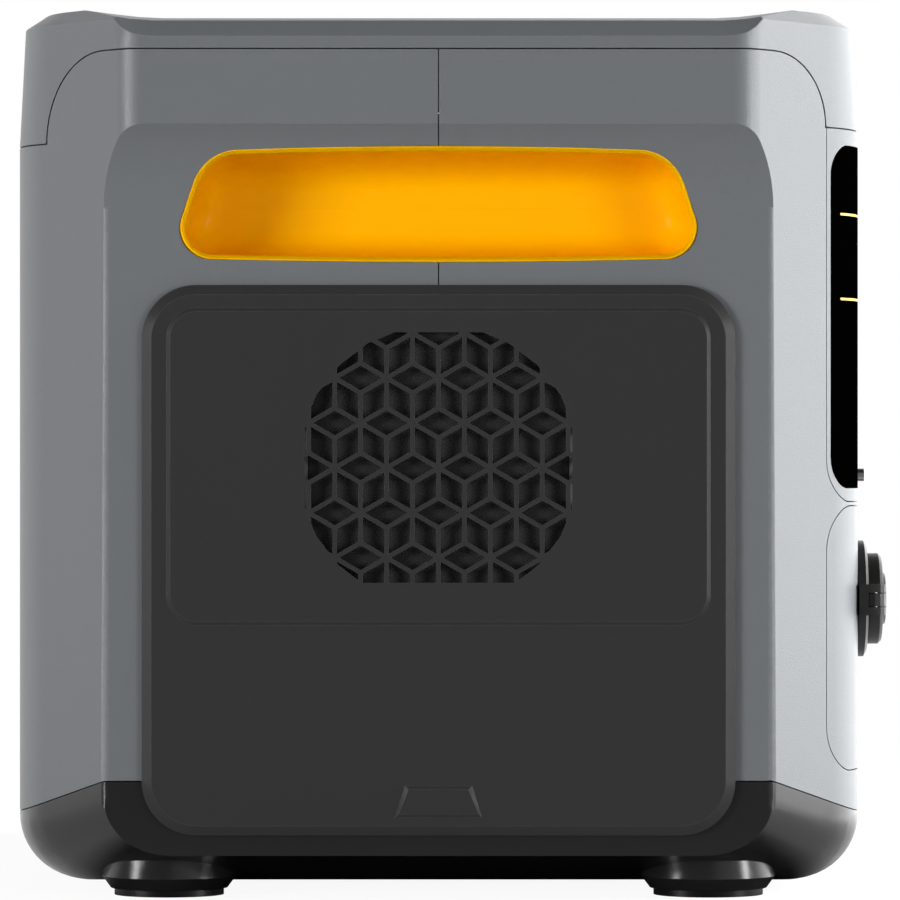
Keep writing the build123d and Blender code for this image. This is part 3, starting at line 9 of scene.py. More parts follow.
import bmesh
import bpy
import numpy as np
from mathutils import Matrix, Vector

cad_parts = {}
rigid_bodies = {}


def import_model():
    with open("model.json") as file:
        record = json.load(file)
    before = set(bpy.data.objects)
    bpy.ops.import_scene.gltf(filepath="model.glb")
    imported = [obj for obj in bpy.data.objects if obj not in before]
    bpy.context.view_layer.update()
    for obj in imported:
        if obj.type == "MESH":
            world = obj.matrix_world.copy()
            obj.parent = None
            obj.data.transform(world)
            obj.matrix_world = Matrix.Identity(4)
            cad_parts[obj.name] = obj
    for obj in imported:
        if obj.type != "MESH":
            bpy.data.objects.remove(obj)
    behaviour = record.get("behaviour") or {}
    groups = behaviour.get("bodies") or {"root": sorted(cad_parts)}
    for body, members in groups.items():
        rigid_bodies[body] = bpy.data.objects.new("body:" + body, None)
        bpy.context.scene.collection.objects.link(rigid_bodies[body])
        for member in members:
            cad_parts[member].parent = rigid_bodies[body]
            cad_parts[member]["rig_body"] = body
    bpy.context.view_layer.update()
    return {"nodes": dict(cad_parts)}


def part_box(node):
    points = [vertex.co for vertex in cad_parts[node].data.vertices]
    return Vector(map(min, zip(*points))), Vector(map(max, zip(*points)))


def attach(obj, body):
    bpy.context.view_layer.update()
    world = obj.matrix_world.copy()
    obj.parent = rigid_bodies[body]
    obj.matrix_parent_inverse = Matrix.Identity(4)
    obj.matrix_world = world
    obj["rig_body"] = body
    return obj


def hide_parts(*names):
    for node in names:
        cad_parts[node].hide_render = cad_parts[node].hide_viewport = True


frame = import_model()

log = logging.getLogger("power_station")

Colour = tuple[float, float, float]
Point = tuple[float, float, float]
Span = tuple[float, float]
EDGE_LAYER = "edge"
MM = 0.001
SAME_POINT = 0.0001 * MM
WHITE = (1.0, 1.0, 1.0, 1.0)
UNIT: Span = (0.0, 1.0)


class Side(Enum):
    """Which side of the housing a mirrored piece is on; the value is its sign along X."""

    LEFT = -1
    RIGHT = 1

    @property
    def tag(self) -> str:
        """Ending of the names of that side's nodes."""
        return self.name.lower()


# ---------------------------------------------------------------- node graphs
class Graph:
    """Small helper that adds nodes to a tree and links them."""

    def __init__(self, tree: bpy.types.NodeTree) -> None:
        """Keeps the node tree to fill."""
        self.tree = tree

    def add(self, kind: str, **settings: object) -> bpy.types.Node:
        """Adds one node.

        Args:
            kind: the node's type, without the shader prefix.
            settings: attributes to set; "values" maps input sockets to constants.
        Returns:
            The new node.
        """
        prefix = "" if kind.startswith(("Node", "Shader")) else "ShaderNode"
        node = self.tree.nodes.new(prefix + kind)
        for key, value in settings.pop("values", {}).items():
            node.inputs[key].default_value = value
        for key, value in settings.items():
            setattr(node, key, value)
        return node

    def link(self, start: bpy.types.NodeSocket, end: bpy.types.NodeSocket) -> None:
        """Joins an output to an input."""
        self.tree.links.new(start, end)

    def feed(self, value: object, end: bpy.types.NodeSocket) -> None:
        """Links an output to an input, or sets the input to a constant.

        Args:
            value: an output socket or a constant.
            end: the input.
        """
        if isinstance(value, bpy.types.NodeSocket):
            self.link(value, end)
        else:
            end.default_value = value

    def math(self, operation: str, first: object, second: object = None,
             clamp: bool = False) -> bpy.types.NodeSocket:
        """Adds a Math node.

        Args:
            operation: the node's operation.
            first: a socket or a number.
            second: a socket or a number, if the operation takes two.
            clamp: keeps the result between 0 and 1.
        Returns:
            The node's output.
        """
        node = self.add("Math", operation=operation, use_clamp=clamp)
        self.feed(first, node.inputs[0])
        if second is not None:
            self.feed(second, node.inputs[1])
        return node.outputs[0]

    def span(self, value: bpy.types.NodeSocket, read: Span, given: Span = UNIT) -> bpy.types.NodeSocket:
        """Maps a value from one range smoothly to another.

        Args:
            value: the socket to map.
            read: start and end of the range that is read.
            given: results at its start and end.
        Returns:
            The mapped value.
        """
        node = self.add("MapRange", interpolation_type="SMOOTHSTEP")
        self.link(value, node.inputs["Value"])
        for name, number in zip(("From Min", "From Max", "To Min", "To Max"), (*read, *given)):
            node.inputs[name].default_value = number
        return node.outputs["Result"]

    def blend(self, share: bpy.types.NodeSocket, first: Colour, second: Colour) -> bpy.types.NodeSocket:
        """Mixes two colours.

        Args:
            share: 0 for the first colour, 1 for the second.
            first: the first colour, linear.
            second: the second colour, linear.
        Returns:
            The mixed colour.
        """
        node = self.add("Mix", data_type="RGBA")
        node.inputs["A"].default_value = (*first, 1.0)
        node.inputs["B"].default_value = (*second, 1.0)
        self.link(share, node.inputs["Factor"])
        return node.outputs["Result"]

    def group(self, tree: bpy.types.NodeTree, place: bpy.types.NodeSocket, **values: float) -> bpy.types.Node:
        """Places one of the shared groups.

        Args:
            tree: the group.
            place: the coordinates that it reads.
            values: its other inputs.
        Returns:
            The group's node.
        """
        node = self.add("Group", node_tree=tree)
        self.link(place, node.inputs["Vector"])
        for key, value in values.items():
            node.inputs[key].default_value = value
        return node

    def white(self, kind: str, strength: object) -> bpy.types.NodeSocket:
        """Adds white light.

        Args:
            kind: Background or Emission.
            strength: a socket or a number.
        Returns:
            The node's shader.
        """
        node = self.add(kind, values={"Color": WHITE})
        self.feed(strength, node.inputs["Strength"])
        return node.outputs[0]

    def matt(self, level: float) -> bpy.types.NodeSocket:
        """Adds a matt grey of a level and gives its shader."""
        return self.add("BsdfDiffuse", values={"Color": (level, level, level, 1.0)}).outputs[0]

    def mix_shaders(self, share: bpy.types.NodeSocket, first: bpy.types.NodeSocket,
                    second: bpy.types.NodeSocket) -> bpy.types.NodeSocket:
        """Mixes two shaders.

        Args:
            share: 0 for the first shader, 1 for the second.
            first: the first shader.
            second: the second shader.
        Returns:
            The mixed shader.
        """
        node = self.add("MixShader")
        for start, end in zip((share, first, second), node.inputs):
            self.link(start, end)
        return node.outputs[0]


def new_group(name: str, outputs: tuple[str, ...],
              pitch: float = 0.0) -> tuple[Graph, bpy.types.Node, bpy.types.Node]:
    """Starts a shader node group that reads coordinates and puts out values.

    Args:
        name: the group's name.
        outputs: names of the values.
        pitch: default of its Pitch input; the group has none where this is 0.
    Returns:
        A graph to fill it, and its input and output nodes.
    """
    tree = bpy.data.node_groups.new(name, "ShaderNodeTree")
    tree.interface.new_socket(name="Vector", in_out="INPUT", socket_type="NodeSocketVector")
    if pitch:
        socket = tree.interface.new_socket(name="Pitch", in_out="INPUT", socket_type="NodeSocketFloat")
        socket.default_value = pitch
    for key in outputs:
        tree.interface.new_socket(name=key, in_out="OUTPUT", socket_type="NodeSocketFloat")
    graph = Graph(tree)
    return graph, graph.add("NodeGroupInput"), graph.add("NodeGroupOutput")


def build_grain_group() -> bpy.types.NodeTree:
    """Spark-eroded mould grain: a cell pattern roughened by noise.

    Returns:
        The group. Pitch is the grains per metre; it puts out a height and a speckle mask.
    """
    noise_pitch, grain_share = 0.55, 0.6
    grain_range, speckle_range = (0.15, 0.75), (0.42, 0.72)
    graph, source, sink = new_group("Mould grain", ("Height", "Speckle"), pitch=2000.0)
    cells = graph.add("TexVoronoi", feature="F1")
    noise = graph.add("TexNoise", values={"Detail": 2.0, "Roughness": 0.65})
    graph.link(source.outputs["Vector"], cells.inputs["Vector"])
    graph.link(source.outputs["Vector"], noise.inputs["Vector"])
    graph.link(source.outputs["Pitch"], cells.inputs["Scale"])
    graph.link(graph.math("MULTIPLY", source.outputs["Pitch"], noise_pitch), noise.inputs["Scale"])
    grains = graph.span(cells.outputs["Distance"], grain_range, (1.0, 0.0))
    height = graph.math("ADD", graph.math("MULTIPLY", grains, grain_share),
                        graph.math("MULTIPLY", noise.outputs["Fac"], 1 - grain_share))
    graph.link(height, sink.inputs["Height"])
    graph.link(graph.span(noise.outputs["Fac"], speckle_range), sink.inputs["Speckle"])
    return graph.tree


def build_handling_group() -> bpy.types.NodeTree:
    """Faint cloudy marks that handling leaves, as a mask.

    Returns:
        The group. Pitch is the marks per metre.
    """
    fine_pitch = 7.0
    mark_range = (0.16, 0.38)
    graph, source, sink = new_group("Handling marks", ("Mask",), pitch=14.0)
    broad = graph.add("TexNoise", values={"Detail": 3.0, "Roughness": 0.5, "Distortion": 0.6})
    fine = graph.add("TexNoise", values={"Detail": 4.0, "Roughness": 0.6})
    for node, times in ((broad, 1.0), (fine, fine_pitch)):
        graph.link(source.outputs["Vector"], node.inputs["Vector"])
        graph.link(graph.math("MULTIPLY", source.outputs["Pitch"], times), node.inputs["Scale"])
    both = graph.math("MULTIPLY", broad.outputs["Fac"], fine.outputs["Fac"])
    graph.link(graph.span(both, mark_range), sink.inputs["Mask"])
    return graph.tree


def build_edge_group() -> bpy.types.NodeTree:
    """Rubbed edges and painted edge highlight: the softened edges of a piece, broken up by noise, as a mask.

    Returns:
        The group, which reads the edge layer that softened pieces carry.
    """
    noise_range, least_rub = (0.35, 0.65), 0.35
    graph, source, sink = new_group("Edge rub", ("Mask",))
    edge = graph.add("Attribute", attribute_name=EDGE_LAYER)
    noise = graph.add("TexNoise", values={"Scale": 320.0, "Detail": 3.0})
    graph.link(source.outputs["Vector"], noise.inputs["Vector"])
    broken = graph.span(noise.outputs["Fac"], noise_range, (least_rub, 1.0))
    graph.link(graph.math("MULTIPLY", edge.outputs["Fac"], broken), sink.inputs["Mask"])
    return graph.tree


GRAIN = build_grain_group()
HANDLING = build_handling_group()
# mask of the softened edges, where finishes add both rubbed wear and a painted highlight
EDGE_RUB_AND_HIGHLIGHT = build_edge_group()


# ---------------------------------------------------------------- finishes
@dataclass(frozen=True)
class Finish:
    """A procedural surface; colours are linear, sizes in metres and pitches in marks per metre."""

    name: str
    slot: str
    colour: Colour
    deep: Colour
    roughness: Span = (0.42, 0.5)
    grain_pitch: float = 2000.0
    grain_height: float = 0.02 * MM
    marks_pitch: float = 14.0
    metal: float = 0.0
    specular: float = 0.5
    # lightening of the softened edges: partly rubbed wear, partly a painted highlight
    edge_lift: float = 0.0

    def material(self) -> bpy.types.Material:
        """The finish's material, made once.

        Returns:
            The material.
        """
        known = bpy.data.materials.get(self.name)
        if known is not None:
            return known
        material = bpy.data.materials.new(self.name)
        material.use_nodes = True
        graph = Graph(material.node_tree)
        shader = material.node_tree.nodes["Principled BSDF"]
        shader.inputs["Metallic"].default_value = self.metal
        shader.inputs["Specular IOR Level"].default_value = self.specular
        self.paint(graph, shader, graph.add("TexCoord").outputs["Object"])
        material.diffuse_color = (*self.colour, 1.0)
        return material

    def marks(self, graph: Graph, place: bpy.types.NodeSocket) -> bpy.types.NodeSocket:
        """Mask of the handling marks."""
        return graph.group(HANDLING, place, Pitch=self.marks_pitch).outputs["Mask"]

    def relieve(self, graph: Graph, shader: bpy.types.Node, height: bpy.types.NodeSocket) -> None:
        """Links the surface's relief.

        Args:
            graph: the material's graph.
            shader: its Principled BSDF.
            height: 0 in the hollows, 1 on the tops.
        """
        relief = graph.add("Bump", values={"Strength": 1.0, "Distance": self.grain_height})
        graph.link(height, relief.inputs["Height"])
        graph.link(relief.outputs["Normal"], shader.inputs["Normal"])

    def paint(self, graph: Graph, shader: bpy.types.Node, place: bpy.types.NodeSocket) -> None:
        """Links the mould grain's colour, roughness and relief, and lightens the softened edges as rubbed
        wear and painted highlight.

        Half the grain's speckle and half the marks' mask turn the deep colour into the full one.

        Args:
            graph: the material's graph.
            shader: its Principled BSDF.
            place: object coordinates.
        """
        grain = graph.group(GRAIN, place, Pitch=self.grain_pitch)
        marks = self.marks(graph, place)
        half_speckle = graph.math("MULTIPLY", grain.outputs["Speckle"], 0.5)
        half_marks = graph.math("MULTIPLY", marks, 0.5)
        colour = graph.blend(graph.math("ADD", half_speckle, half_marks, clamp=True), self.deep, self.colour)
        # softened edges are lightened: rubbed wear and a painted highlight along every rounding
        if self.edge_lift:
            worn_and_highlit = graph.add("Mix", data_type="RGBA", blend_type="ADD")
            worn_and_highlit.inputs["B"].default_value = (self.edge_lift, self.edge_lift, self.edge_lift, 1.0)
            graph.link(graph.group(EDGE_RUB_AND_HIGHLIGHT, place).outputs["Mask"], worn_and_highlit.inputs["Factor"])
            graph.link(colour, worn_and_highlit.inputs["A"])
            colour = worn_and_highlit.outputs["Result"]
        graph.link(colour, shader.inputs["Base Color"])
        graph.link(graph.span(marks, UNIT, self.roughness), shader.inputs["Roughness"])
        self.relieve(graph, shader, grain.outputs["Height"])


@dataclass(frozen=True)
class Brushed(Finish):
    """Metal with fine lines along one axis; lines are the noise's pitch along X, Y and Z."""

    grain_height: float = 0.002 * MM
    metal: float = 1.0
    lines: Point = (6000.0, 6000.0, 200.0)
    streak_range: Span = (0.3, 0.7)
    dull_range: Span = (0.0, 0.6)

    def paint(self, graph: Graph, shader: bpy.types.Node, place: bpy.types.NodeSocket) -> None:
        """Links streaked colour, roughness and relief.

        Args:
            graph: the material's graph.
            shader: its Principled BSDF.
            place: object coordinates.
        """
        stretch = graph.add("Mapping", values={"Scale": self.lines})
        graph.link(place, stretch.inputs["Vector"])
        noise = graph.add("TexNoise", values={"Scale": 1.0, "Detail": 3.0, "Roughness": 0.6})
        graph.link(stretch.outputs["Vector"], noise.inputs["Vector"])
        streaks = noise.outputs["Fac"]
        colour = graph.blend(graph.span(streaks, self.streak_range), self.deep, self.colour)
        graph.link(colour, shader.inputs["Base Color"])
        dull = graph.math("MULTIPLY", self.marks(graph, place), streaks)
        graph.link(graph.span(dull, self.dull_range, self.roughness), shader.inputs["Roughness"])
        self.relieve(graph, shader, streaks)


@dataclass(frozen=True)
class Woven(Finish):
    """Mat of crossing threads in the plane of Y and Z; threads is their number per metre."""

    threads: float = 900.0

    def paint(self, graph: Graph, shader: bpy.types.Node, place: bpy.types.NodeSocket) -> None:
        """Links the weave's colour, roughness and relief; its height is sin(2 pi n y) sin(2 pi n z).

        Args:
            graph: the material's graph.
            shader: its Principled BSDF.
            place: object coordinates.
        """
        parts = graph.add("SeparateXYZ")
        graph.link(place, parts.inputs["Vector"])
        turns = (graph.math("MULTIPLY", parts.outputs[axis], 2 * pi * self.threads) for axis in ("Y", "Z"))
        weft, warp = (graph.math("SINE", turn) for turn in turns)
        height = graph.span(graph.math("MULTIPLY", weft, warp), (-1.0, 1.0))
        shade = graph.math("MULTIPLY", height, self.marks(graph, place))
        graph.link(graph.blend(shade, self.deep, self.colour), shader.inputs["Base Color"])
        graph.link(graph.span(shade, UNIT, self.roughness), shader.inputs["Roughness"])
        self.relieve(graph, shader, height)


GREY_SHELL = Finish(
    "grey moulded shell", "grey_shell", (0.133, 0.142, 0.150), (0.131, 0.140, 0.148),
    roughness=(0.38, 0.39), grain_pitch=2300.0, grain_height=0.05 * MM, edge_lift=0.02)
BLACK_BASE = Finish(
    "black moulded base", "black_base", (0.0104, 0.0104, 0.0104), (0.0096, 0.0096, 0.0096),
    roughness=(0.2, 0.21), grain_pitch=2400.0, grain_height=0.012 * MM, edge_lift=0.002, specular=0.55)
# the cover's edge lightening is a painted highlight on the roundings of its panel and bevel
BLACK_COVER = Finish(
    "black satin cover", "black_cover", (0.0298, 0.0298, 0.0298), (0.0292, 0.0292, 0.0292),
    roughness=(0.33, 0.34), grain_pitch=2600.0, grain_height=0.01 * MM, edge_lift=0.03, specular=0.11)
ORANGE_CUP = Finish(
    "orange satin cup", "orange_cup", (0.88, 0.455, 0.0), (0.87, 0.445, 0.0),
    roughness=(0.3, 0.32), grain_pitch=2200.0, grain_height=0.006 * MM, specular=0.05)
FRONT_GLASS = Finish(
    "black front glass", "front_glass", (0.0003, 0.0003, 0.0003), (0.0002, 0.0002, 0.0002),
    roughness=(0.08, 0.1), grain_pitch=400.0, grain_height=0.0004 * MM, specular=0.0)
YELLOW_PRINT = Finish(
    "yellow print", "yellow_print", (0.78, 0.50, 0.06), (0.72, 0.45, 0.05), roughness=(0.4, 0.5))
DISPLAY_FACE = Finish(
    "display face", "display_face", (0.004, 0.004, 0.005), (0.002, 0.002, 0.003),
    roughness=(0.12, 0.16), grain_height=0.001 * MM)
CIRCUIT_BOARD = Finish(
    "solder mask", "circuit_board", (0.012, 0.09, 0.03), (0.008, 0.06, 0.022), roughness=(0.3, 0.4))
BUTTON_METAL = Brushed(
    "satin button metal", "button_metal", (0.52, 0.52, 0.53), (0.4, 0.4, 0.41), roughness=(0.28, 0.36))
SWITCH_BLACK = Finish("switch black", "switch_black", (0.01, 0.01, 0.01), (0.007, 0.007, 0.007))
PLATED_STEEL = Brushed(
    "plated steel", "plated_steel", (0.62, 0.62, 0.61), (0.5, 0.5, 0.49), roughness=(0.22, 0.32))
TONGUE_PLASTIC = Finish("tongue plastic", "tongue_plastic", (0.7, 0.7, 0.66), (0.62, 0.62, 0.58))
SOCKET_BLACK = Finish(
    "socket black", "socket_black", (0.0165, 0.0165, 0.0155), (0.014, 0.014, 0.0132),
    roughness=(0.34, 0.44), grain_height=0.008 * MM, edge_lift=0.01)
CONTACT_BRASS = Brushed(
    "turned brass", "contact_brass", (0.62, 0.42, 0.15), (0.5, 0.33, 0.11), roughness=(0.2, 0.3))
FILTER_MAT = Woven(
    "needled filter mat", "filter_mat", (0.042, 0.042, 0.042), (0.027, 0.027, 0.027),
    roughness=(0.8, 0.95), grain_height=0.2 * MM, specular=0.2)
FOOT_RUBBER = Finish(
    "foot rubber", "foot_rubber", (0.003, 0.003, 0.003), (0.0022, 0.0022, 0.0022),
    roughness=(0.35, 0.4), grain_pitch=1400.0, grain_height=0.01 * MM, specular=0.3)
CELL_FILM = Finish(
    "cell film", "cell_casing", (0.03, 0.1, 0.32), (0.025, 0.085, 0.28), roughness=(0.25, 0.35))
PACK_PLASTIC = Finish("pack plastic", "pack_plastic", (0.015, 0.015, 0.017), (0.011, 0.011, 0.013))
BAR_COPPER = Brushed(
    "stamped copper", "bar_copper", (0.7, 0.3, 0.16), (0.56, 0.23, 0.12),
    roughness=(0.26, 0.38), grain_height=0.02 * MM)
CHASSIS_METAL = Brushed(
    "mill finish", "chassis_metal", (0.6, 0.6, 0.6), (0.48, 0.48, 0.49),
    roughness=(0.3, 0.42), grain_height=0.02 * MM)
CORE_IRON = Finish(
    "varnished core", "core_iron", (0.04, 0.035, 0.03), (0.028, 0.025, 0.022), roughness=(0.35, 0.5))
CAN_SLEEVE = Finish(
    "capacitor sleeve", "capacitor_can", (0.006, 0.006, 0.012), (0.004, 0.004, 0.009), roughness=(0.18, 0.26))


# ---------------------------------------------------------------- surfaces
def rounded_loop(corners: np.ndarray, radii: np.ndarray, steps: int, run: int) -> np.ndarray:
    """Closed outline with rounded corners.

    Each corner becomes an arc: its centre is the corner moved along the bisector by
    radius / sin(half angle), and its ends are the tangent points. Straight runs are divided evenly.

    Args:
        corners: (n, 2) corner points, counter-clockwise.
        radii: (n,) radius of each.
        steps: points on each arc.
        run: points on each straight run.
    Returns:
        (m, 2) points of the loop.
    """
    arcs = []
    for k, here in enumerate(corners):
        before, after = corners[k - 1], corners[(k + 1) % len(corners)]
        into = (before - here) / np.linalg.norm(before - here)
        out = (after - here) / np.linalg.norm(after - here)
        half = np.arccos(np.clip(into @ out, -1, 1)) / 2
        centre = here + (into + out) / np.linalg.norm(into + out) * radii[k] / sin(half)
        start = here + into * radii[k] / tan(half) - centre
        end = here + out * radii[k] / tan(half) - centre
        first = np.arctan2(start[1], start[0])
        sweep = (np.arctan2(end[1], end[0]) - first) % (2 * pi)
        angle = first + sweep * np.linspace(0, 1, steps)
        arcs.append(centre + radii[k] * np.stack([np.cos(angle), np.sin(angle)], 1))
    share = np.linspace(0, 1, run + 2)[1:-1, None]
    parts = []
    for arc, following in zip(arcs, arcs[1:] + arcs[:1]):
        parts += [arc, arc[-1] * (1 - share) + following[0] * share]
    return np.concatenate(parts)


def grid_faces(rows: int, columns: int) -> np.ndarray:
    """Quads of a grid of points whose last column joins the first.

    Args:
        rows: points along the first direction.
        columns: points round the second.
    Returns:
        (n, 4) corner numbers, row by row.
    """
    row, column = np.meshgrid(np.arange(rows - 1), np.arange(columns), indexing="ij")
    here, below, following = row * columns, (row + 1) * columns, (column + 1) % columns
    corners = (here + column, here + following, below + following, below + column)
    return np.stack([corner.ravel() for corner in corners], 1)


def make_object(name: str, points: np.ndarray, faces: np.ndarray, sharp: float = 40.0) -> bpy.types.Object:
    """Puts points and faces into an object at the origin.

    Args:
        name: the object's name.
        points: (n, 3) points in the frame.
        faces: (m, 4) corner numbers.
        sharp: edges turning by more than this many degrees stay crisp.
    Returns:
        The object, with its faces turned outwards.
    """
    mesh = bpy.data.meshes.new(name)
    mesh.from_pydata(points.tolist(), [], faces.tolist())
    work = bmesh.new()
    work.from_mesh(mesh)
    bmesh.ops.remove_doubles(work, verts=work.verts, dist=SAME_POINT)
    bmesh.ops.recalc_face_normals(work, faces=work.faces)
    work.to_mesh(mesh)
    work.free()
    return link_mesh(name, mesh, sharp)


def link_mesh(name: str, mesh: bpy.types.Mesh, sharp: float) -> bpy.types.Object:
    """Shades a mesh smoothly up to an angle and links it to the scene.

    Args:
        name: the object's name.
        mesh: its mesh.
        sharp: the angle in degrees.
    Returns:
        The object.
    """
    mesh.polygons.foreach_set("use_smooth", np.ones(len(mesh.polygons), bool))
    mesh.set_sharp_from_angle(angle=radians(sharp))
    piece = bpy.data.objects.new(name, mesh)
    bpy.context.scene.collection.objects.link(piece)
    return piece


def settle(piece: bpy.types.Object, finish: Finish, node: str) -> None:
    """Dresses a piece that replaces a CAD node and ties it to that node's body.

    Args:
        piece: the piece.
        finish: its finish.
        node: the CAD node.
    """
    piece.data.materials.clear()
    piece.data.materials.append(finish.material())
    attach(piece, frame["nodes"][node]["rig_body"])
    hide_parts(node)
    log.info("%s: %d faces, %s", piece.name, len(piece.data.polygons), finish.name)


def dress(node: str, finish: Finish) -> None:
    """Gives a CAD node its finish and leaves its shape as it is.

    Args:
        node: the CAD node.
        finish: its finish.
    """
    piece = frame["nodes"][node]
    piece.data.materials.clear()
    piece.data.materials.append(finish.material())
    log.info("%s: CAD shape, %s", node, finish.name)


@dataclass
class Softened:
    """A CAD node's own shape with its points merged and its crisp edges rounded; angles are in degrees.

    A corner edge is one of the upright edges where a slanted corner of the housing meets its stepped-in side.
    It is found by its place and by the Y of its two faces' normals, which the two last fields limit.
    """

    node: str
    finish: Finish
    edge: float
    corner_edge: float = 0.0
    edge_faces: int = 2
    corner_faces: int = 5
    merge: float = 0.002 * MM
    flat_angle: float = 0.6
    crisp_angle: float = 24.0
    sharp_angle: float = 38.0
    corner_top: float = 241.5 * MM
    corner_out: float = 190.0 * MM
    upright: float = 0.99
    side_normal: float = 0.05
    slant_normal: Span = (0.78, 0.86)

    def crisp(self, work: bmesh.types.BMesh) -> list[bmesh.types.BMEdge]:
        """Edges that turn by more than the crisp angle."""
        return [e for e in work.edges if e.is_manifold and e.calc_face_angle(0.0) > radians(self.crisp_angle)]

    def is_corner(self, edge: bmesh.types.BMEdge) -> bool:
        """Whether an edge is a corner edge.

        Args:
            edge: an edge between two faces.
        Returns:
            True for an upright edge, low and far out enough, between a side face and a slanted one.
        """
        start, end = (v.co for v in edge.verts)
        side, slant = sorted(abs(face.normal.y) for face in edge.link_faces)
        stands = abs(start.z - end.z) > self.upright * (start - end).length
        placed = max(start.z, end.z) < self.corner_top and abs(start.x) > self.corner_out
        least, most = self.slant_normal
        return stands and placed and side < self.side_normal and least < slant < most

    def round_edges(self, work: bmesh.types.BMesh, edges: list[bmesh.types.BMEdge], width: float, faces: int,
                    layer: bmesh.types.BMLayerItem, clamp: bool = True) -> None:
        """Rounds edges and marks the new faces.

        Args:
            work: the mesh.
            edges: its edges to round.
            width: how far each edge is cut back.
            faces: number of faces across each rounding.
            layer: the layer that takes the mark.
            clamp: keeps roundings from running into each other.
        """
        made = bmesh.ops.bevel(work, geom=edges, offset=width, offset_type="OFFSET", segments=faces,
                               profile=0.5, affect="EDGES", clamp_overlap=clamp, miter_outer="SHARP")
        for face in made["faces"]:
            face[layer] = 1.0

    def build(self) -> None:
        """Copies the node's mesh, merges it, rounds its edges and puts the result in the node's place."""
        work = bmesh.new()
        work.from_mesh(frame["nodes"][self.node].data)
        bmesh.ops.remove_doubles(work, verts=work.verts, dist=self.merge)
        bmesh.ops.dissolve_limit(work, angle_limit=radians(self.flat_angle), verts=work.verts,
                                 edges=work.edges)
        layer = work.faces.layers.float.new(EDGE_LAYER)
        if self.corner_edge:
            corners = [edge for edge in self.crisp(work) if self.is_corner(edge)]
            self.round_edges(work, corners, self.corner_edge, self.corner_faces, layer, clamp=False)
        self.round_edges(work, self.crisp(work), self.edge, self.edge_faces, layer)
        bmesh.ops.triangulate(work, faces=[face for face in work.faces if len(face.verts) > 4])
        mesh = bpy.data.meshes.new(f"{self.node}_skin")
        work.to_mesh(mesh)
        work.free()
        piece = link_mesh(f"{self.node}_skin", mesh, self.sharp_angle)
        piece.modifiers.new("Weighted normals", "WEIGHTED_NORMAL").keep_sharp = True
        settle(piece, self.finish, self.node)


# ---------------------------------------------------------------- sub-assemblies
@dataclass
class Housing:
    """Grey shells, top cover and black tub."""

    shell_edge: float = 0.35 * MM
    corner_edge: float = 1.8 * MM
    rim_edge: float = 0.6 * MM

    def build(self) -> None:
        """Builds and dresses every wall of the housing."""
        Softened("front_shell", GREY_SHELL, self.shell_edge, self.corner_edge).build()
        Softened("rear_shell", GREY_SHELL, self.shell_edge, self.corner_edge).build()
        Softened("top_cover", GREY_SHELL, self.rim_edge).build()
        Softened("base_tub", BLACK_BASE, self.shell_edge, self.corner_edge).build()
        dress("case_screws", PLATED_STEEL)
        dress("foot_screws", PLATED_STEEL)
        dress("rubber_feet", FOOT_RUBBER)


